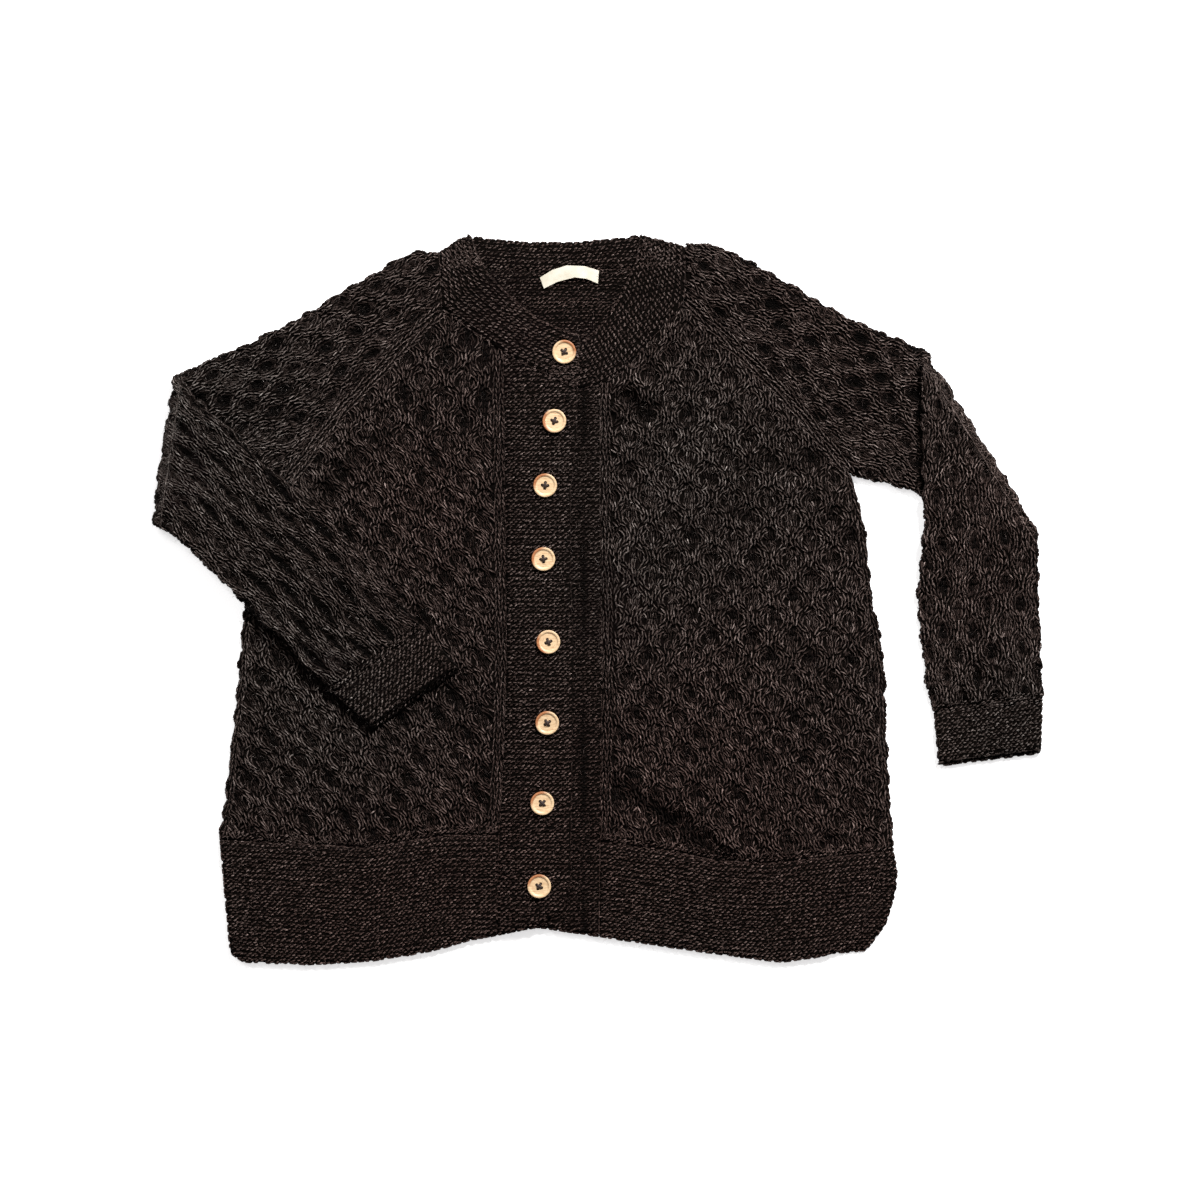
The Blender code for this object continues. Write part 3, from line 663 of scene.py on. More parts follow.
# Each knitted piece: the longest edge of its shell in millimetres, its flat size and area in metres,
# and the piece that it rests on
pieces = {
    "back": {"edge": 12.0, "flat": (0.62, 0.55), "area": 0.26, "on": ()},
    "backHem": {"edge": 12.0, "flat": (0.61, 0.11), "area": 0.052, "on": ()},
    "rightFront": {"edge": 6.8, "flat": (0.26, 0.47), "area": 0.095, "on": ("back",)},
    "leftFront": {"edge": 6.8, "flat": (0.27, 0.5), "area": 0.105, "on": ("back",)},
    "rightFrontHem": {"edge": 9.0, "flat": (0.25, 0.112), "area": 0.024, "on": ("back",)},
    "leftFrontHem": {"edge": 9.0, "flat": (0.265, 0.1), "area": 0.022, "on": ("back",)},
    "buttonholeBand": {"edge": 8.5, "flat": (0.07, 0.53), "area": 0.031, "on": ("buttonBand",)},
    "buttonBand": {"edge": 10.0, "flat": (0.072, 0.5), "area": 0.035, "on": ("back",)},
    "neckband": {"edge": 7.5, "flat": (0.047, 0.62), "area": 0.024, "on": ("back",)},
    "rightSleeve": {"edge": 6.8, "flat": (0.26, 0.58), "area": 0.12, "on": ("rightFront",)},
    "leftSleeve": {"edge": 6.8, "flat": (0.26, 0.55), "area": 0.115, "on": ()},
    "rightCuff": {"edge": 6.0, "flat": (0.2, 0.045), "area": 0.0088, "on": ("rightFront",)},
    "leftCuff": {"edge": 6.0, "flat": (0.2, 0.045), "area": 0.0088, "on": ()},
}

depth = {"body": 1.3, "sleeve": 1.8, "cable": 1.3, "swell": 0.9}
# Where the neckband folds over at the shoulders, and how far the edge is lowered there
neckCorners = ((-119, 328, 1.6), (-111.5, 325, -3.2), (39, 327, 1.2), (31.5, 325.5, -3.2))
frills = {"knit": (2.4, 19.0), "garter": (0.6, 11.0)}  # how far the edge swells, and how often


def nodeOf(name):
    # The solid of a piece: right_front_hem for rightFrontHem, and so on
    return "".join("_" + letter.lower() if letter.isupper() else letter for letter in name)


def slotOf(name):
    return "garter" if any(part in name for part in ("Hem", "Band", "band", "Cuff")) else "knit"


def swell(x, y):
    # Broad, shallow unevenness of cloth that was laid down by hand
    wide = np.sin(x / 31 + 1.1 * np.sin(y / 47)) * np.sin(y / 37 + 0.9 * np.sin(x / 53 + 1.0))
    return depth["swell"] * (wide + 0.5 * np.sin(x / 19 - y / 23 + 2.0))


# How far the cables of each front lean towards the wearer's left, and below which height
lean = {"right": (0.42, 145), "left": (0.2, -60)}


def wander(side, x, y):
    # How far the cells of the body have been pulled out of their straight rows
    askew = -lean[side][0] * np.minimum(y - lean[side][1], 0) - (20 if side == "right" else 0)
    return (askew + 2.4 * np.sin(y / 43 + 0.8) + 1.4 * np.sin(x / 61 + y / 29),
            2.0 * np.sin(x / 47 + 0.5) + 1.2 * np.sin(y / 53 - x / 37))


def drift(u, v):
    # The same for a sleeve, along it and across it
    return (2.2 * np.sin(v / 13 + 0.6 * np.sin(u / 41)) + 1.2 * np.sin(u / 17 + v / 29),
            1.7 * np.sin(u / 19 + 0.8) + 1.2 * np.sin(v / 11 - u / 37))


# Creases that show: ends of each line, half width and height, a trough being negative
creases = (
    ((8, -158), (62, -196), 6.5, -1.9),
    ((52, -189), (118, -236), 6.0, -2.0),
    ((14, -146), (70, -184), 8.0, 1.5),
    ((62, -176), (122, -222), 7.0, 1.3),
    ((20, 186), (33, 176), 6.5, -2.0),
    ((34, 170), (40, 162), 7.0, -2.1),
    ((10, 166), (17, 158), 5.5, -2.0),
    ((-2, 156), (6, 148), 5.0, -1.4),
    ((44, 178), (56, 174), 5.0, -1.3),
    ((16, 196), (44, 190), 8.0, 2.2),
    ((24, 152), (52, 150), 8.0, 1.6),
    ((-250, 100), (-190, 150), 8.0, -1.0),
    ((-150, 120), (-175, 20), 14.0, 0.9),
    ((-205, -40), (-110, -95), 12.0, -0.8),
    ((120, 120), (206, 128), 9.0, -0.9),
    ((150, 96), (215, 100), 9.0, 1.0),
    ((90, -60), (190, -120), 15.0, 0.8),
    ((60, 40), (130, 90), 14.0, -0.7),
)


def creaseAt(x, y):
    spots = np.stack((x, y), -1)
    height = np.zeros(len(spots))
    for start, end, half, rise in creases:
        away = lineDistance(spots, (start, end)) / half
        height += rise * np.exp(-away * away)
    return height


def bodyRelief(side):
    def relief(x, y, z):
        dx, dy = wander(side, x, y)
        height = swell(x, y) + creaseAt(x, y) - depth["body"] * pitAt(x - dx, y - dy, cut["bodyCell"])
        return np.maximum(height, 4.0 - z)  # the wall keeps its thickness under the deepest pits

    return relief


def sleeveRelief(side):
    arm = sleeves[side]

    def relief(x, y, z):
        # Pulls the solid's even cells out of their rows, and presses a pit into each
        over = onForearm(y, z)
        u, v = unlaid(arm, x, y)
        fu, fv = unfolded(arm, x, y)
        even = cellField(np.where(over, fv, v), np.where(over, fu, u), cut["sleeveCell"])
        du, dv = drift(u, v)
        dfu, dfv = drift(fu, fv)
        upper = (v - dv, u - du, cut["sleeveCell"])
        lower = (fv - dfv, fu - dfu, arm["cell"])
        pulled = np.where(over, cellField(*lower), cellField(*upper))
        pit = np.where(over, pitAt(*lower), pitAt(*upper))
        return 0.6 * swell(x, y) + depth["cable"] * (even - pulled) - depth["sleeve"] * pit

    return relief


for name, facts in pieces.items():
    shell = shellOf(nodeOf(name), name + "Cloth", facts["edge"])
    for ending, reliefOf in (("Front", bodyRelief), ("Sleeve", sleeveRelief)):
        if name.endswith(ending):
            softenTop(shell, rounds=2)
            reliefTop(shell, reliefOf(name.replace(ending, "")))
    if name == "neckband":
        softenCorners(shell, neckCorners, reach=5.0)
    frillEdge(shell, *frills[slotOf(name)])
    shells[name] = shell
    surfaces[name] = surfaceOf(shell)
    bpy.ops.object.shade_smooth()
    print(name, "shell of", len(shell.data.polygons), "faces")


yarn = {name: [] for name in pieces}  # each piece's lengths of yarn, as (paths, radii, tones)


def sew(name, legs, radius, heights, tone, layer=None):
    # Keeps the legs of a piece that can be seen from above, on the wanted layer of a sleeve
    middle = legs[:, 1:3].mean(1)
    seen = shown(middle, name)
    tones = np.broadcast_to(tone, len(legs))[seen] + shadeAt(middle[seen], name)
    legs, heights = legs[seen], np.broadcast_to(heights, legs.shape[:2])[seen]
    paths, keep = lowered(surfaces[name], legs, heights)
    tones = tones[keep]
    if layer is not None:
        over = onForearm(paths[:, 1, 1], paths[:, 1, 2] - heights[keep][:, 1])
        wanted = over == (layer == "forearm")
        paths, tones = paths[wanted], tones[wanted]
    paths[..., 2] = np.maximum(paths[..., 2], radius)
    radii = np.clip(chance.normal(1.0, 0.1, len(paths)), 0.75, 1.2) * radius
    yarn[name].append((paths, radii, tones))


def honeycomb(name, mapping, cell, span, keepOut, hand=1, layer=None):
    # Pits and ropes over a piece. mapping turns (across, along) into the plan.
    for kind in ("pit", "rope"):
        if kind == "rope":
            places, ahead, width, height = ropeColumns(cell, *span)
            legs = vLegs(places, ahead * hand, width, height)
            radius = stitch["legRadius"] * min(1.0, cell[0] / 32)
            crest = -cellField(legs[..., 0], legs[..., 1], cell)
            lift = legHeights + (0.3 + stitch["crestLift"] * np.clip(crest, -0.6, 1))
        else:
            places, ahead = pitColumns(cell, *span)
            legs = vLegs(places, ahead * hand, cell[0] * 0.1, cell[1] * 0.14)
            radius, lift = stitch["pitRadius"], legHeights
        plan = mapping(legs[..., 0], legs[..., 1])
        middle = plan[:, 1:3].mean(1)
        clear = np.ones(len(plan), bool)
        for line, distance in keepOut:
            clear &= lineDistance(middle, line) > distance
        # The deeper a stitch lies in its cell, the less light reaches it. No two cells are alike.
        a, b = legs[:, 1:3, 0].mean(1), legs[:, 1:3, 1].mean(1)
        part = name.replace("Sleeve", "Forearm") if layer == "forearm" else name
        dark, deep, across, along = pitShadeTones[part]
        tone = -deep * cellShadeAt(a, b - (0.12 * cell[1] if layer is None else 0.0), cell, across, along)
        # the stitches deep behind the ropes get more painted shade
        if kind == "pit":
            tone = tone + dark + chance.normal(0, 0.05, len(tone))
        elif layer is not None:  # the sleeves lie higher, nearer the light
            tone = tone + 0.02
        # painted shade in the troughs of the creases
        if layer is None:
            tone = tone + 0.06 * np.minimum(creaseAt(middle[:, 0], middle[:, 1]), 0)
        sew(name, plan[clear], radius, np.broadcast_to(lift, plan.shape[:2])[clear], tone[clear], layer)


def chain(name, line, offset, tone, width=5.8, height=5.0):
    # One column of V stitches along a line, offset to its right
    points, ahead = spaced(line, height)
    side = np.stack((ahead[:, 1], -ahead[:, 0]), -1)
    stray = 0.7 * np.sin(np.arange(len(points)) * 0.9 + offset) + chance.normal(0, 0.35, len(points))
    legs = vLegs(points + side * (offset + stray)[:, None], ahead, width, height)
    sew(name, legs, stitch["chainRadius"], legHeights + 0.4, tone)


# The overlapping edge keeps the light off the button band's first stitches, within a few millimetres
bandShade = {"edge": -15.5, "reach": 2.6, "tone": -0.1, "wave": 27}


def garter(name, rows, tone=0.0):
    # Purl bumps in bricks along the rows
    legs = []
    for i, row in enumerate(rows):
        points, ahead = spaced(row, stitch["garterPitch"], (i % 2) * stitch["garterPitch"] / 2)
        points = points + chance.normal(0, 0.4, points.shape)
        side = np.stack((-ahead[:, 1], ahead[:, 0]), -1)
        reach = np.array([-1.0, -0.4, 0.4, 1.0]) * stitch["garterReach"]
        arch = np.array([-0.75, 0.4, 0.4, -0.75]) * (1.0 if i % 2 else -1.0)
        tilt = chance.normal(0.55 if i % 2 else 0.25, 0.2, len(points))
        legs.append(points[:, None] + ahead[:, None] * reach[:, None]
                    + side[:, None] * (arch + reach * tilt[:, None])[..., None])
    legs = np.concatenate(legs)
    # painted shadow of the overlapping edge, and painted shade over the whole band, which lies lower
    if name == "buttonBand":
        away = (legs[:, 1, 0] - bandShade["edge"]) / bandShade["reach"]
        uneven = 1 + np.sin(legs[:, 1, 1] / bandShade["wave"] + 1.0)
        tone = bandShade["tone"] * np.exp(-away * away) * uneven - 0.03
    if name == "buttonholeBand":  # every other ridge painted lighter, as highlight, as if it stood a little higher
        tone = 0.03 * np.sin(legs[:, 1, 1] * 2 * np.pi / 7.6)
    sew(name, legs, stitch["garterRadius"], beadHeights + chance.normal(0, 0.15, (len(legs), 1)), tone)


def onBody(side):
    def mapping(a, b):
        dx, dy = wander(side, a, b)
        return np.stack((a + dx, b + dy), -1)

    return mapping


def onSleeve(arm, place):
    # place is laid for the upper arm and foldedOver for the forearm
    def mapping(v, u):
        du, dv = drift(u, v)
        return place(arm, u + du, v + dv)

    return mapping


# For each front: its band's seam and the span of the cable, across and along. The cable stops short
# of each seam by so many millimetres.
fronts = {"right": ("buttonhole", (-560, -20, -240, 330)), "left": ("button", (-60, 290, -250, 330))}
shortOf = {"Band": 11, "Raglan": 6, "Side": 5, "Hem": 5}
for side, (band, span) in fronts.items():
    keepOut = [(seams[band if part == "Band" else side + part], gap) for part, gap in shortOf.items()]
    honeycomb(side + "Front", onBody(side), cut["bodyCell"], span, keepOut)
for offset in (2.6, 7.6):
    chain("rightFront", seams["buttonhole"], offset, -0.03)
    chain("leftFront", seams["button"], -offset, -0.03)
chain("rightFront", seams["rightSide"], -3.0, -0.03)
chain("leftFront", seams["leftSide"], 3.0, -0.03)
chain("rightFront", seams["rightRaglan"][:-1], 3.6, 0.02)
chain("leftFront", seams["leftRaglan"][:-1], -3.6, 0.01)

rowStep = stitch["garterRow"]
for side, arm in sleeves.items():
    name = side + "Sleeve"
    raglan = seams[side + "Raglan"][:-1]  # its last stretch meets the neckband
    honeycomb(name, onSleeve(arm, laid), cut["sleeveCell"], (0, 140, -220, 120), ((raglan, 7),),
              hand=-1, layer="upper")
    low, high = cut["wrist"]
    v = np.linspace(low - 8, high + 8, 24)
    start, end = arm["length"]
    wrist = start + (end - start) * (v - low) / (high - low)
    honeycomb(name, onSleeve(arm, foldedOver), arm["cell"], (0, 140, -40, 365),
              ((foldedOver(arm, wrist, v), cut["wristRows"]),), hand=-1, layer="forearm")
    chain(name, raglan, 3.6 * arm["hand"], 0.02)
    chain(name, raglan, 9.0 * arm["hand"], -0.1)
    cuffRows = np.arange(1.2, cut["cuffDepth"] + 6, rowStep)
    garter(side + "Cuff", [foldedOver(arm, wrist + reach, v) for reach in cuffRows])
    wristRows = np.arange(0.8, cut["wristRows"] + 1.5, rowStep)
    garter(name, [foldedOver(arm, wrist - reach, v) for reach in wristRows])
print("cables knitted")

# inside the neck the back shows its wrong side, all purl bumps
garter("back", [((-140, y), (80, y + 3 * math.sin(y / 5))) for y in np.arange(236, 330, rowStep)], -0.03)
garter("buttonholeBand", [((-95, y), (-15, y)) for y in np.arange(-304, 228, rowStep)])
garter("buttonBand", [((-72, y), (5, y)) for y in np.arange(-304, 200, rowStep)])
for side in ("right", "left"):
    line = np.asarray(seams[side + "Hem"], float)
    garter(side + "FrontHem", [line - (0, drop) for drop in np.arange(0.6, 118, rowStep)])
    garter(side + "Front", [line + (0, rise) for rise in np.arange(0.7, 8, rowStep)])
garter("backHem", [((-345, y), (275, y)) for y in np.arange(-334, -210, rowStep)])
# Stretches of the neckband: how many rows, and sections from its inner to its outer edge
neckSections = (
    (16, ((-19, 237, -21, 190), (-27, 239, -41, 200), (-56, 251, -75, 216), (-71, 263, -87, 223),
          (-86, 277, -115, 242), (-100, 291, -142, 261.5), (-111, 310, -143.5, 290),
          (-116, 327, -144.3, 311))),
    (10, ((-116, 327, -144.3, 307), (-111, 326, -143.8, 297), (-103, 325, -110, 300),
          (-63, 322, -65, 297), (-23, 322, -23, 296), (9, 325, 11, 298), (27, 326, 45, 299),
          (33, 326, 76.8, 301), (36, 326, 76.8, 311))),
    (16, ((36, 326, 76.8, 314), (33, 304, 76.4, 292), (20, 275, 75.6, 269.5), (9, 256, 46, 234),
          (-7, 236, 22, 206), (-18, 231, 0, 193), (-30, 229, -18, 190), (-45, 228, -45, 189))),
)
for rows, sections in neckSections:
    sections = np.asarray(sections, float)
    garter("neckband", [sections[:, :2] * (1 - share) + sections[:, 2:] * share
                        for share in np.linspace(0.02, 0.98, rows)])
print("bands knitted")


def rimLegs(shell, pitch, reach):
    # Lengths of yarn round the standing edges of a shell, along the edge
    spots = patternPoints(shell)
    steps = np.array([-reach, -reach * 0.35, reach * 0.35, reach])
    bulge = np.array([-0.5, 0.35, 0.35, -0.5])
    taken, paths = set(), []
    for face in shell.data.polygons:
        if abs(face.normal.z) > 0.62:
            continue
        middle = spots[list(face.vertices)].mean(0)
        key = tuple(np.floor(middle / pitch).astype(int))
        if key in taken:
            continue
        taken.add(key)
        out = np.array(face.normal)
        run = np.cross(out, (0.0, 0.0, 1.0))
        run /= np.linalg.norm(run)
        run = run + np.array((0, 0, chance.normal(0, 0.25)))
        path = middle + run * steps[:, None] + out * bulge[:, None]
        path[:, 2] = np.maximum(path[:, 2], 1.3)
        paths.append(path)
    return np.array(paths)


fuzz = {
    "apart": 65.625,  # square millimetres of yarn for each loose fibre
    "length": (3.5, 9.0),
    "radius": 0.07,
    "tone": 0.08,
    "rise": 1.6,
    "lowest": 0.2,
}


def hairPaths(paths, radii):
    # Loose fibres that stand off the yarn
    lengths = np.linalg.norm(paths[:, -1] - paths[:, 0], axis=1)
    many = int((lengths * radii * 2).sum() / fuzz["apart"])
    chosen = chance.choice(len(paths), many)
    spots = paths[chosen, 1] * 0.5 + paths[chosen, 2] * 0.5
    spots[:, 2] += radii[chosen] * 0.8
    run = paths[chosen, 2] - paths[chosen, 1]
    turn = np.arctan2(run[:, 1], run[:, 0]) + chance.normal(0, 0.9, many)
    bend = chance.normal(0, 0.5, many)
    long = chance.uniform(*fuzz["length"], many)
    hairs = np.zeros((many, 4, 3))
    hairs[:, 0] = spots
    for step in (1, 2, 3):
        aim = turn + bend * step
        hairs[:, step, 0] = hairs[:, step - 1, 0] + np.cos(aim) * long / 3
        hairs[:, step, 1] = hairs[:, step - 1, 1] + np.sin(aim) * long / 3
    lift = chance.uniform(0.2, fuzz["rise"], many)
    hairs[:, 1:, 2] = spots[:, 2:] + lift[:, None] * (0.8, 1.0, 0.5)
    hairs[..., 2] = np.maximum(hairs[..., 2], fuzz["lowest"])
    return hairs


stitches, fuzzes = {}, {}
for name, shell in shells.items():
    rim = rimLegs(shell, pitch=4.2, reach=2.9)
    # painted shade along the standing edges, deeper along the buttonhole band's free edge
    tone = np.full(len(rim), -0.1 if name == "buttonholeBand" else -0.03)
    if name == "rightCuff":  # the mouth of the cuff, painted dark as the shade inside it
        u, v = unfolded(sleeves["right"], rim[:, 1, 0], rim[:, 1, 1])
        tone[u > sleeves["right"]["length"][0] + cut["cuffDepth"] - 3] = -0.3
    if name in ("rightCuff", "rightSleeve"):  # the low edge, which the light doesn't reach
        middle = rim[:, 1:3, :2].mean(1)
        step = np.array(shade["towardsLight"]) * shade["lowEdgeWithin"]
        inside = ~np.isnan(heightOn(surfaces[name], middle + step))
        outside = np.isnan(heightOn(surfaces[name], middle - step))
        tone[inside & outside & (middle[:, 0] > shade["lowEdgeFrom"])] += shade["lowEdge"]
    yarn[name].append((rim, np.full(len(rim), 1.2), tone))
    paths, radii, tones = (np.concatenate(parts) for parts in zip(*yarn[name]))
    contrast = stitch["bandContrast" if slotOf(name) == "garter" else "contrast"]
    stitches[name] = yarnMesh(name + "Stitches", paths, radii, tones, contrast)
    hairs = hairPaths(paths, radii)
    size = chance.uniform(0.7, 1.2, len(hairs)) * fuzz["radius"]
    fuzzes[name] = yarnMesh(name + "Fuzz", hairs, size, np.full(len(hairs), fuzz["tone"]), (0, 0))
    print(name, len(paths), "lengths of yarn,", len(stitches[name].data.polygons), "faces,",
          len(fuzzes[name].data.polygons), "of fuzz")


# Buttons

button = {
    "radius": 10.6,
    "thick": 3.2,
    "base": 9.6,
    "edge": 0.9,
    "rim": 1.9,
    "dish": 1.0,
    "hole": 1.4,
    "holeOffset": 1.8,
    "turn": 13.0,
    "tilt": 2.5,
    "threadRadius": 1.15,
    "threadHalf": 3.159,
    "threadDip": 1.1,
    "wood": ((0.3, "#ac8762"), (0.48, "#cbab85"), (0.7, "#dcc29d")),
    "heart": "#c99a80",
    "thread": ((0.35, "#160b06"), (0.65, "#341d11")),
}
redderRimSide = (50, 185, 135, 150, 200, 140, 130, 120)  # side of each button's redder rim, in degrees
buttonPlaces = ((-32.1, 222.5), (-40.9, 160.5), (-49.2, 102.8), (-50.8, 36.7), (-46.3, -37.7),
                (-47.3, -110.3), (-51.8, -182.3), (-54.5, -256.7))


def woodMaterial():
    # Turned beech under a thin satin varnish: pale, warm, with fine darker pores along the grain and
    # a redder side on part of the outer rim
    made, tree, shader = newMaterial("turnedBeech")
    place = addNode(tree, "TexCoord", "Object", {})
    heart = addNode(tree, "Attribute", "Fac", {"attribute_name": "heart"})
    along = addNode(tree, "Mapping", "Vector", {"Vector": place, "Scale": (160.0, 1100.0, 160.0)})
    grain = noise(tree, along, 1.0, 4.0, 0.6)
    pale = colourRamp(tree, grain, button["wood"])
    feed(tree, shader, {
        "Base Color": multiplied(tree, heart, pale, linear(button["heart"])),
        "Normal": bump(tree, grain, 0.25, 0.0001),
        "Roughness": 0.42,
        "IOR": 1.5,
    })
    return made


def threadMaterial():
    # Dark waxed cotton sewing thread
    made, tree, shader = newMaterial("waxedCottonThread")
    lay = noise(tree, addNode(tree, "TexCoord", "Object", {}), 1500.0, 2.0)
    feed(tree, shader, {"Base Color": colourRamp(tree, lay, button["thread"]), "Roughness": 0.7})
    return made


def addCylinder(corners, radius, length, place=(0, 0, 0)):
    bpy.ops.mesh.primitive_cylinder_add(vertices=corners, radius=radius, depth=length, location=place)
    return bpy.context.active_object


def selectTop(shape):
    enter("EDIT")
    bpy.ops.mesh.select_mode(type="FACE")
    bpy.ops.mesh.select_all(action="DESELECT")
    enter("OBJECT")
    for face in shape.data.polygons:
        face.select = face.normal.z > 0.9
    enter("EDIT")


def makeButton():
    body = addCylinder(64, button["radius"] * 0.001, button["thick"] * 0.001)
    edge = button["edge"] * 0.001
    selectTop(body)
    bpy.ops.mesh.inset(thickness=edge)
    bpy.ops.mesh.inset(thickness=button["rim"] * 0.001 - edge)
    bpy.ops.mesh.inset(thickness=edge)
    bpy.ops.transform.translate(value=(0, 0, -button["dish"] * 0.001))
    bpy.ops.mesh.inset(thickness=0.0012)
    enter("OBJECT")
    bevel = body.modifiers.new("roundedRim", "BEVEL")
    bevel.width, bevel.segments, bevel.limit_method = 0.0006, 3, "ANGLE"
    bevel.angle_limit = math.radians(25)
    bpy.ops.object.modifier_apply(modifier="roundedRim")
    offset = button["holeOffset"] * 0.001
    for x, y in ((1, 1), (-1, 1), (-1, -1), (1, -1)):
        drill = addCylinder(16, button["hole"] * 0.001, 0.01, (x * offset, y * offset, 0))
        pick(body)
        bore = body.modifiers.new("hole", "BOOLEAN")
        bore.operation, bore.object, bore.solver = "DIFFERENCE", drill, "EXACT"
        bpy.ops.object.modifier_apply(modifier="hole")
        bpy.data.objects.remove(drill)
    bpy.ops.object.shade_smooth_by_angle(angle=math.radians(40))
    return body


def makeThread():
    # Two bars of thread that cross between the holes, their ends dipping into them
    half = button["threadHalf"] * 0.001
    bars = []
    for turn in (45, -45):
        bar = addCylinder(10, button["threadRadius"] * 0.001, 2 * half)
        enter("EDIT")
        bpy.ops.mesh.select_all(action="SELECT")
        bpy.ops.mesh.subdivide(number_cuts=5)
        enter("OBJECT")
        bar.data.transform(Matrix.Rotation(math.radians(90), 4, "Y"))
        for vertex in bar.data.vertices:
            share = abs(vertex.co.x) / half
            vertex.co.z -= button["threadDip"] * 0.001 * max(0.0, share - 0.55) * 2.2
            vertex.co.z += 0.0002 if turn > 0 else 0.0
        bar.data.transform(Matrix.Rotation(math.radians(turn), 4, "Z"))
        bars.append(bar)
    pick(*bars)
    bpy.ops.object.join()
    bpy.ops.object.shade_smooth()
    return bars[0]


wood, thread = woodMaterial(), threadMaterial()
firstButton, firstThread = makeButton(), makeThread()
firstButton.data.materials.append(wood)
firstThread.data.materials.append(thread)
for number, (x, y) in enumerate(buttonPlaces, start=1):
    tilt = Matrix.Rotation(math.radians(button["tilt"] * math.sin(number * 2.3)), 4, "X")
    tilt = tilt @ Matrix.Rotation(math.radians(button["tilt"] * math.cos(number * 1.7)), 4, "Y")
    turn = Matrix.Rotation(math.radians(button["turn"] * number), 4, "Z")
    spot = toScene((x, y, button["base"] + button["thick"] / 2))
    move = Matrix.Translation(Vector(spot)) @ tilt @ turn
    made = addObject(f"woodButton{number}", firstButton.data.copy())
    sewn = addObject(f"buttonThread{number}", firstThread.data.copy())
    spots = readPoints(made.data)
    aim = math.radians(redderRimSide[number - 1] - button["turn"] * number)
    across = (spots[:, 0] * math.cos(aim) + spots[:, 1] * math.sin(aim)) * 1000 / button["radius"]
    outer = np.linalg.norm(spots[:, :2], axis=1) * 1000 > button["radius"] - button["rim"] - 0.5
    addValues(made.data, "heart", np.clip((across - 0.3) / 0.4, 0, 1) * outer)
    made.data.transform(move)
    rise = Matrix.Translation((0, 0, button["thick"] * 0.0005 - button["dish"] * 0.001 + 0.0005))
    sewn.data.transform(move @ rise)
    for item in (made, sewn):
        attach(item, "root")
    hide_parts(f"button_{number}")
bpy.data.objects.remove(firstButton)
bpy.data.objects.remove(firstThread)
print("buttons sewn on")

# Label

label = {
    "top": ((-54, 289.8), (-43, 296.5), (-29.7, 300.6), (-14, 300.0), (-0.9, 296.1)),
    "bottom": ((-50.4, 279.9), (-38, 286.0), (-22.5, 289.8), (-12, 288.6), (-1.8, 284.4)),
    "height": 4.3,
    "bow": 1.6,
    "thick": 0.5,
    "thread": 0.5,  # weave, in millimetres, as coarse as it needs to be to show
    "colour": ((0.35, "#bfb8a6"), (0.65, "#cfc9ba")),
}


def labelMaterial():
    # Plain woven cotton tape, cream, with the weave as fine bump and soiling as faint warm patches
    made, tree, shader = newMaterial("cottonTape")
    place = addNode(tree, "TexCoord", "Object", {})
    warp, weft = (addNode(tree, "TexWave", "Fac", {"Vector": place, "bands_direction": way,
                                                   "Scale": 314 / label["thread"]}) for way in "XY")
    weave = addNode(tree, "Math", "Value", {"operation": "MULTIPLY", 0: warp, 1: weft})
    feed(tree, shader, {
        "Base Color": colourRamp(tree, noise(tree, place, 90.0, 3.0), label["colour"]),
        "Normal": bump(tree, weave, 0.4, 0.0001),
        "Roughness": 0.85,
        "Sheen Weight": 0.15,
    })
    return made


bpy.ops.mesh.primitive_grid_add(x_subdivisions=28, y_subdivisions=6, size=2, location=(0, 0, 0))
tape = bpy.context.active_object
tape.name = "neckLabel"
grid = readPoints(tape.data)
share, up = (grid[:, 0] + 1) / 2, (grid[:, 1] + 1) / 2
edges = []
for edge in (label["bottom"], label["top"]):
    edge = np.asarray(edge, float)
    marks = np.linspace(0, 1, len(edge))
    edges.append(np.stack([np.interp(share, marks, edge[:, i]) for i in (0, 1)], -1))
plan = edges[0] * (1 - up[:, None]) + edges[1] * up[:, None]
rise = label["height"] + label["bow"] * np.sin(np.pi * share)
movePoints(tape, np.column_stack((plan, rise)))
thicken = tape.modifiers.new("tapeThickness", "SOLIDIFY")
thicken.thickness = label["thick"] * 0.001
bpy.ops.object.modifier_apply(modifier="tapeThickness")
bpy.ops.object.shade_smooth_by_angle(angle=math.radians(50))
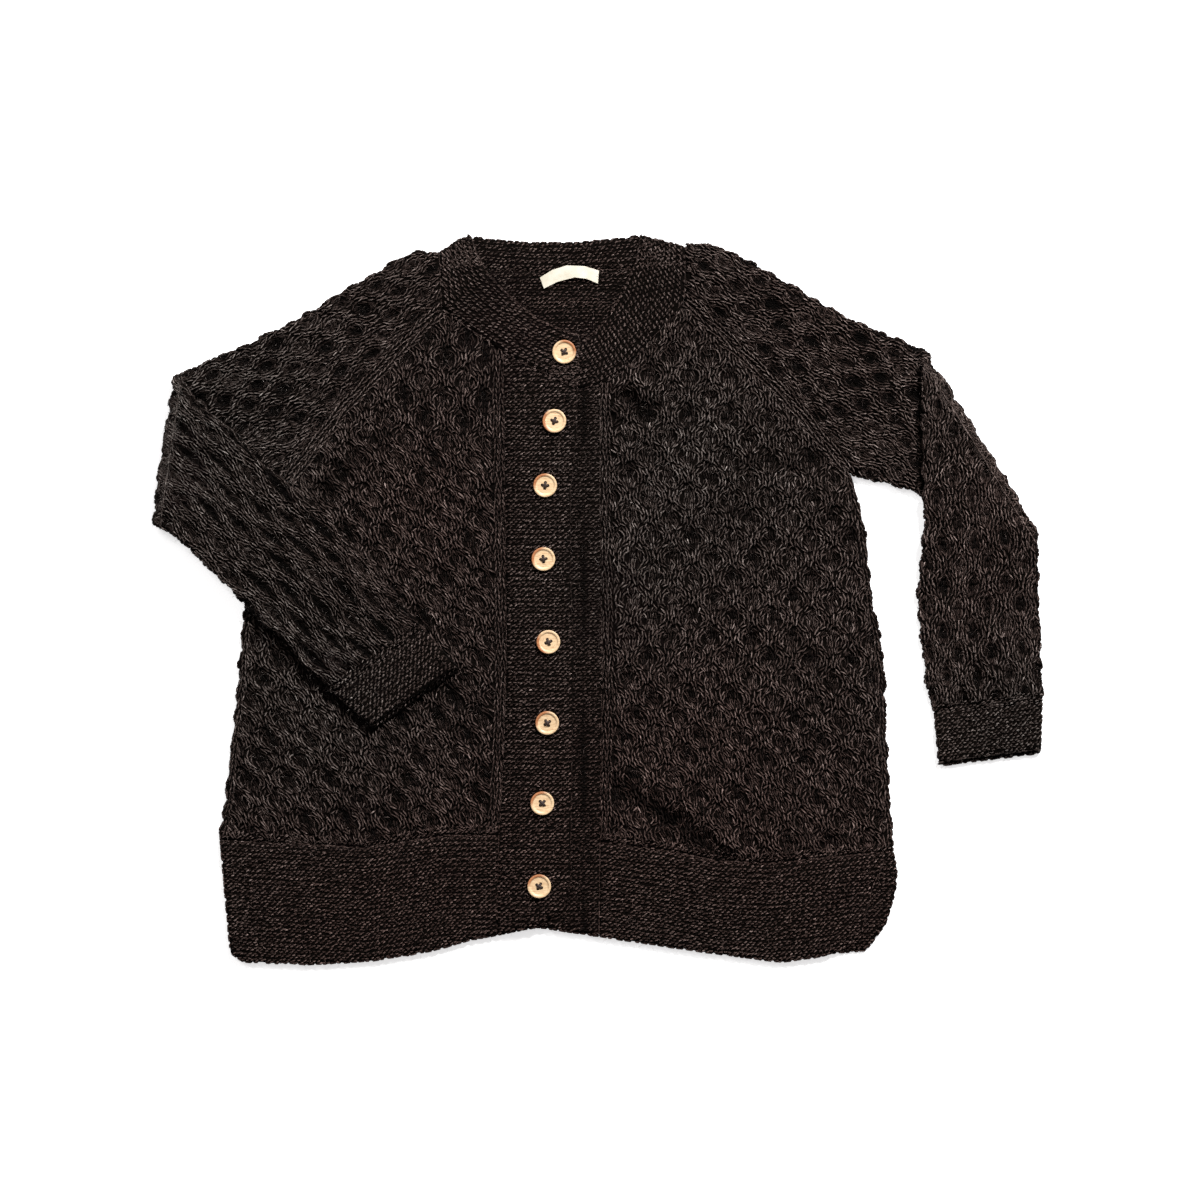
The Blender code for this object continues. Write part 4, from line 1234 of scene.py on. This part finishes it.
tape.data.materials.append(labelMaterial())
print("label sewn in")


# What each piece is, for the frame

for name in pieces:
    for item in (shells[name], stitches[name], fuzzes[name]):
        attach(item, "root")
    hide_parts(nodeOf(name))
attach(tape, "root")
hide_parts("neck_label")

# Studio

studio = {"floor": "#fbfafa", "glow": 0.6, "key": 330.0, "keyPlace": (1.4, 2.9, 2.4), "keySize": 0.9,
          "fill": 60.0, "fillPlace": (-2.2, 2.2, 2.8), "fillSize": 1.4, "sky": 0.24, "lens": 100.0,
          "view": 1.08}
bpy.ops.mesh.primitive_plane_add(size=12, location=(0, 0, -0.0002))
floor = bpy.context.active_object
floor.name = "studioFloor"
paper, tree, shader = newMaterial("mattPaper")
# a light table, so no shadow shows
feed(tree, shader, {"Base Color": linear(studio["floor"]), "Roughness": 0.9,
                    "Emission Color": linear(studio["floor"]), "Emission Strength": studio["glow"]})
floor.data.materials.append(paper)

for name in ("key", "fill"):
    lightData = bpy.data.lights.new(name + "Light", "AREA")
    lightData.size, lightData.energy = studio[name + "Size"], studio[name]
    lamp = addObject(name + "Light", lightData)
    lamp.location = studio[name + "Place"]
    lamp.rotation_euler = (-lamp.location).to_track_quat("-Z", "Y").to_euler()
world = bpy.data.worlds.new("studioWorld")
world.use_nodes = True
feed(world.node_tree, world.node_tree.nodes["Background"], {"Color": (1.0, 1.0, 1.0, 1.0),
                                                            "Strength": studio["sky"]})
bpy.context.scene.world = world
bpy.context.scene.view_settings.view_transform = "Standard"

cameraData = bpy.data.cameras.new("photoCamera")
cameraData.lens = studio["lens"]
cameraData.clip_end = 50
distance = studio["view"] / 2 / (cameraData.sensor_width / 2 / studio["lens"])
camera = addObject("photoCamera", cameraData)
middle = toScene((0.0, 0.0, 0.0))
camera.location = (middle[0], middle[1], distance)
bpy.context.scene.camera = camera

solids = list(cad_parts.values())
added = [item for item in bpy.context.scene.objects
         if item.type == "MESH" and item != floor and item not in solids]
print("faces in all", sum(len(item.data.polygons) for item in added))
print("studio set")
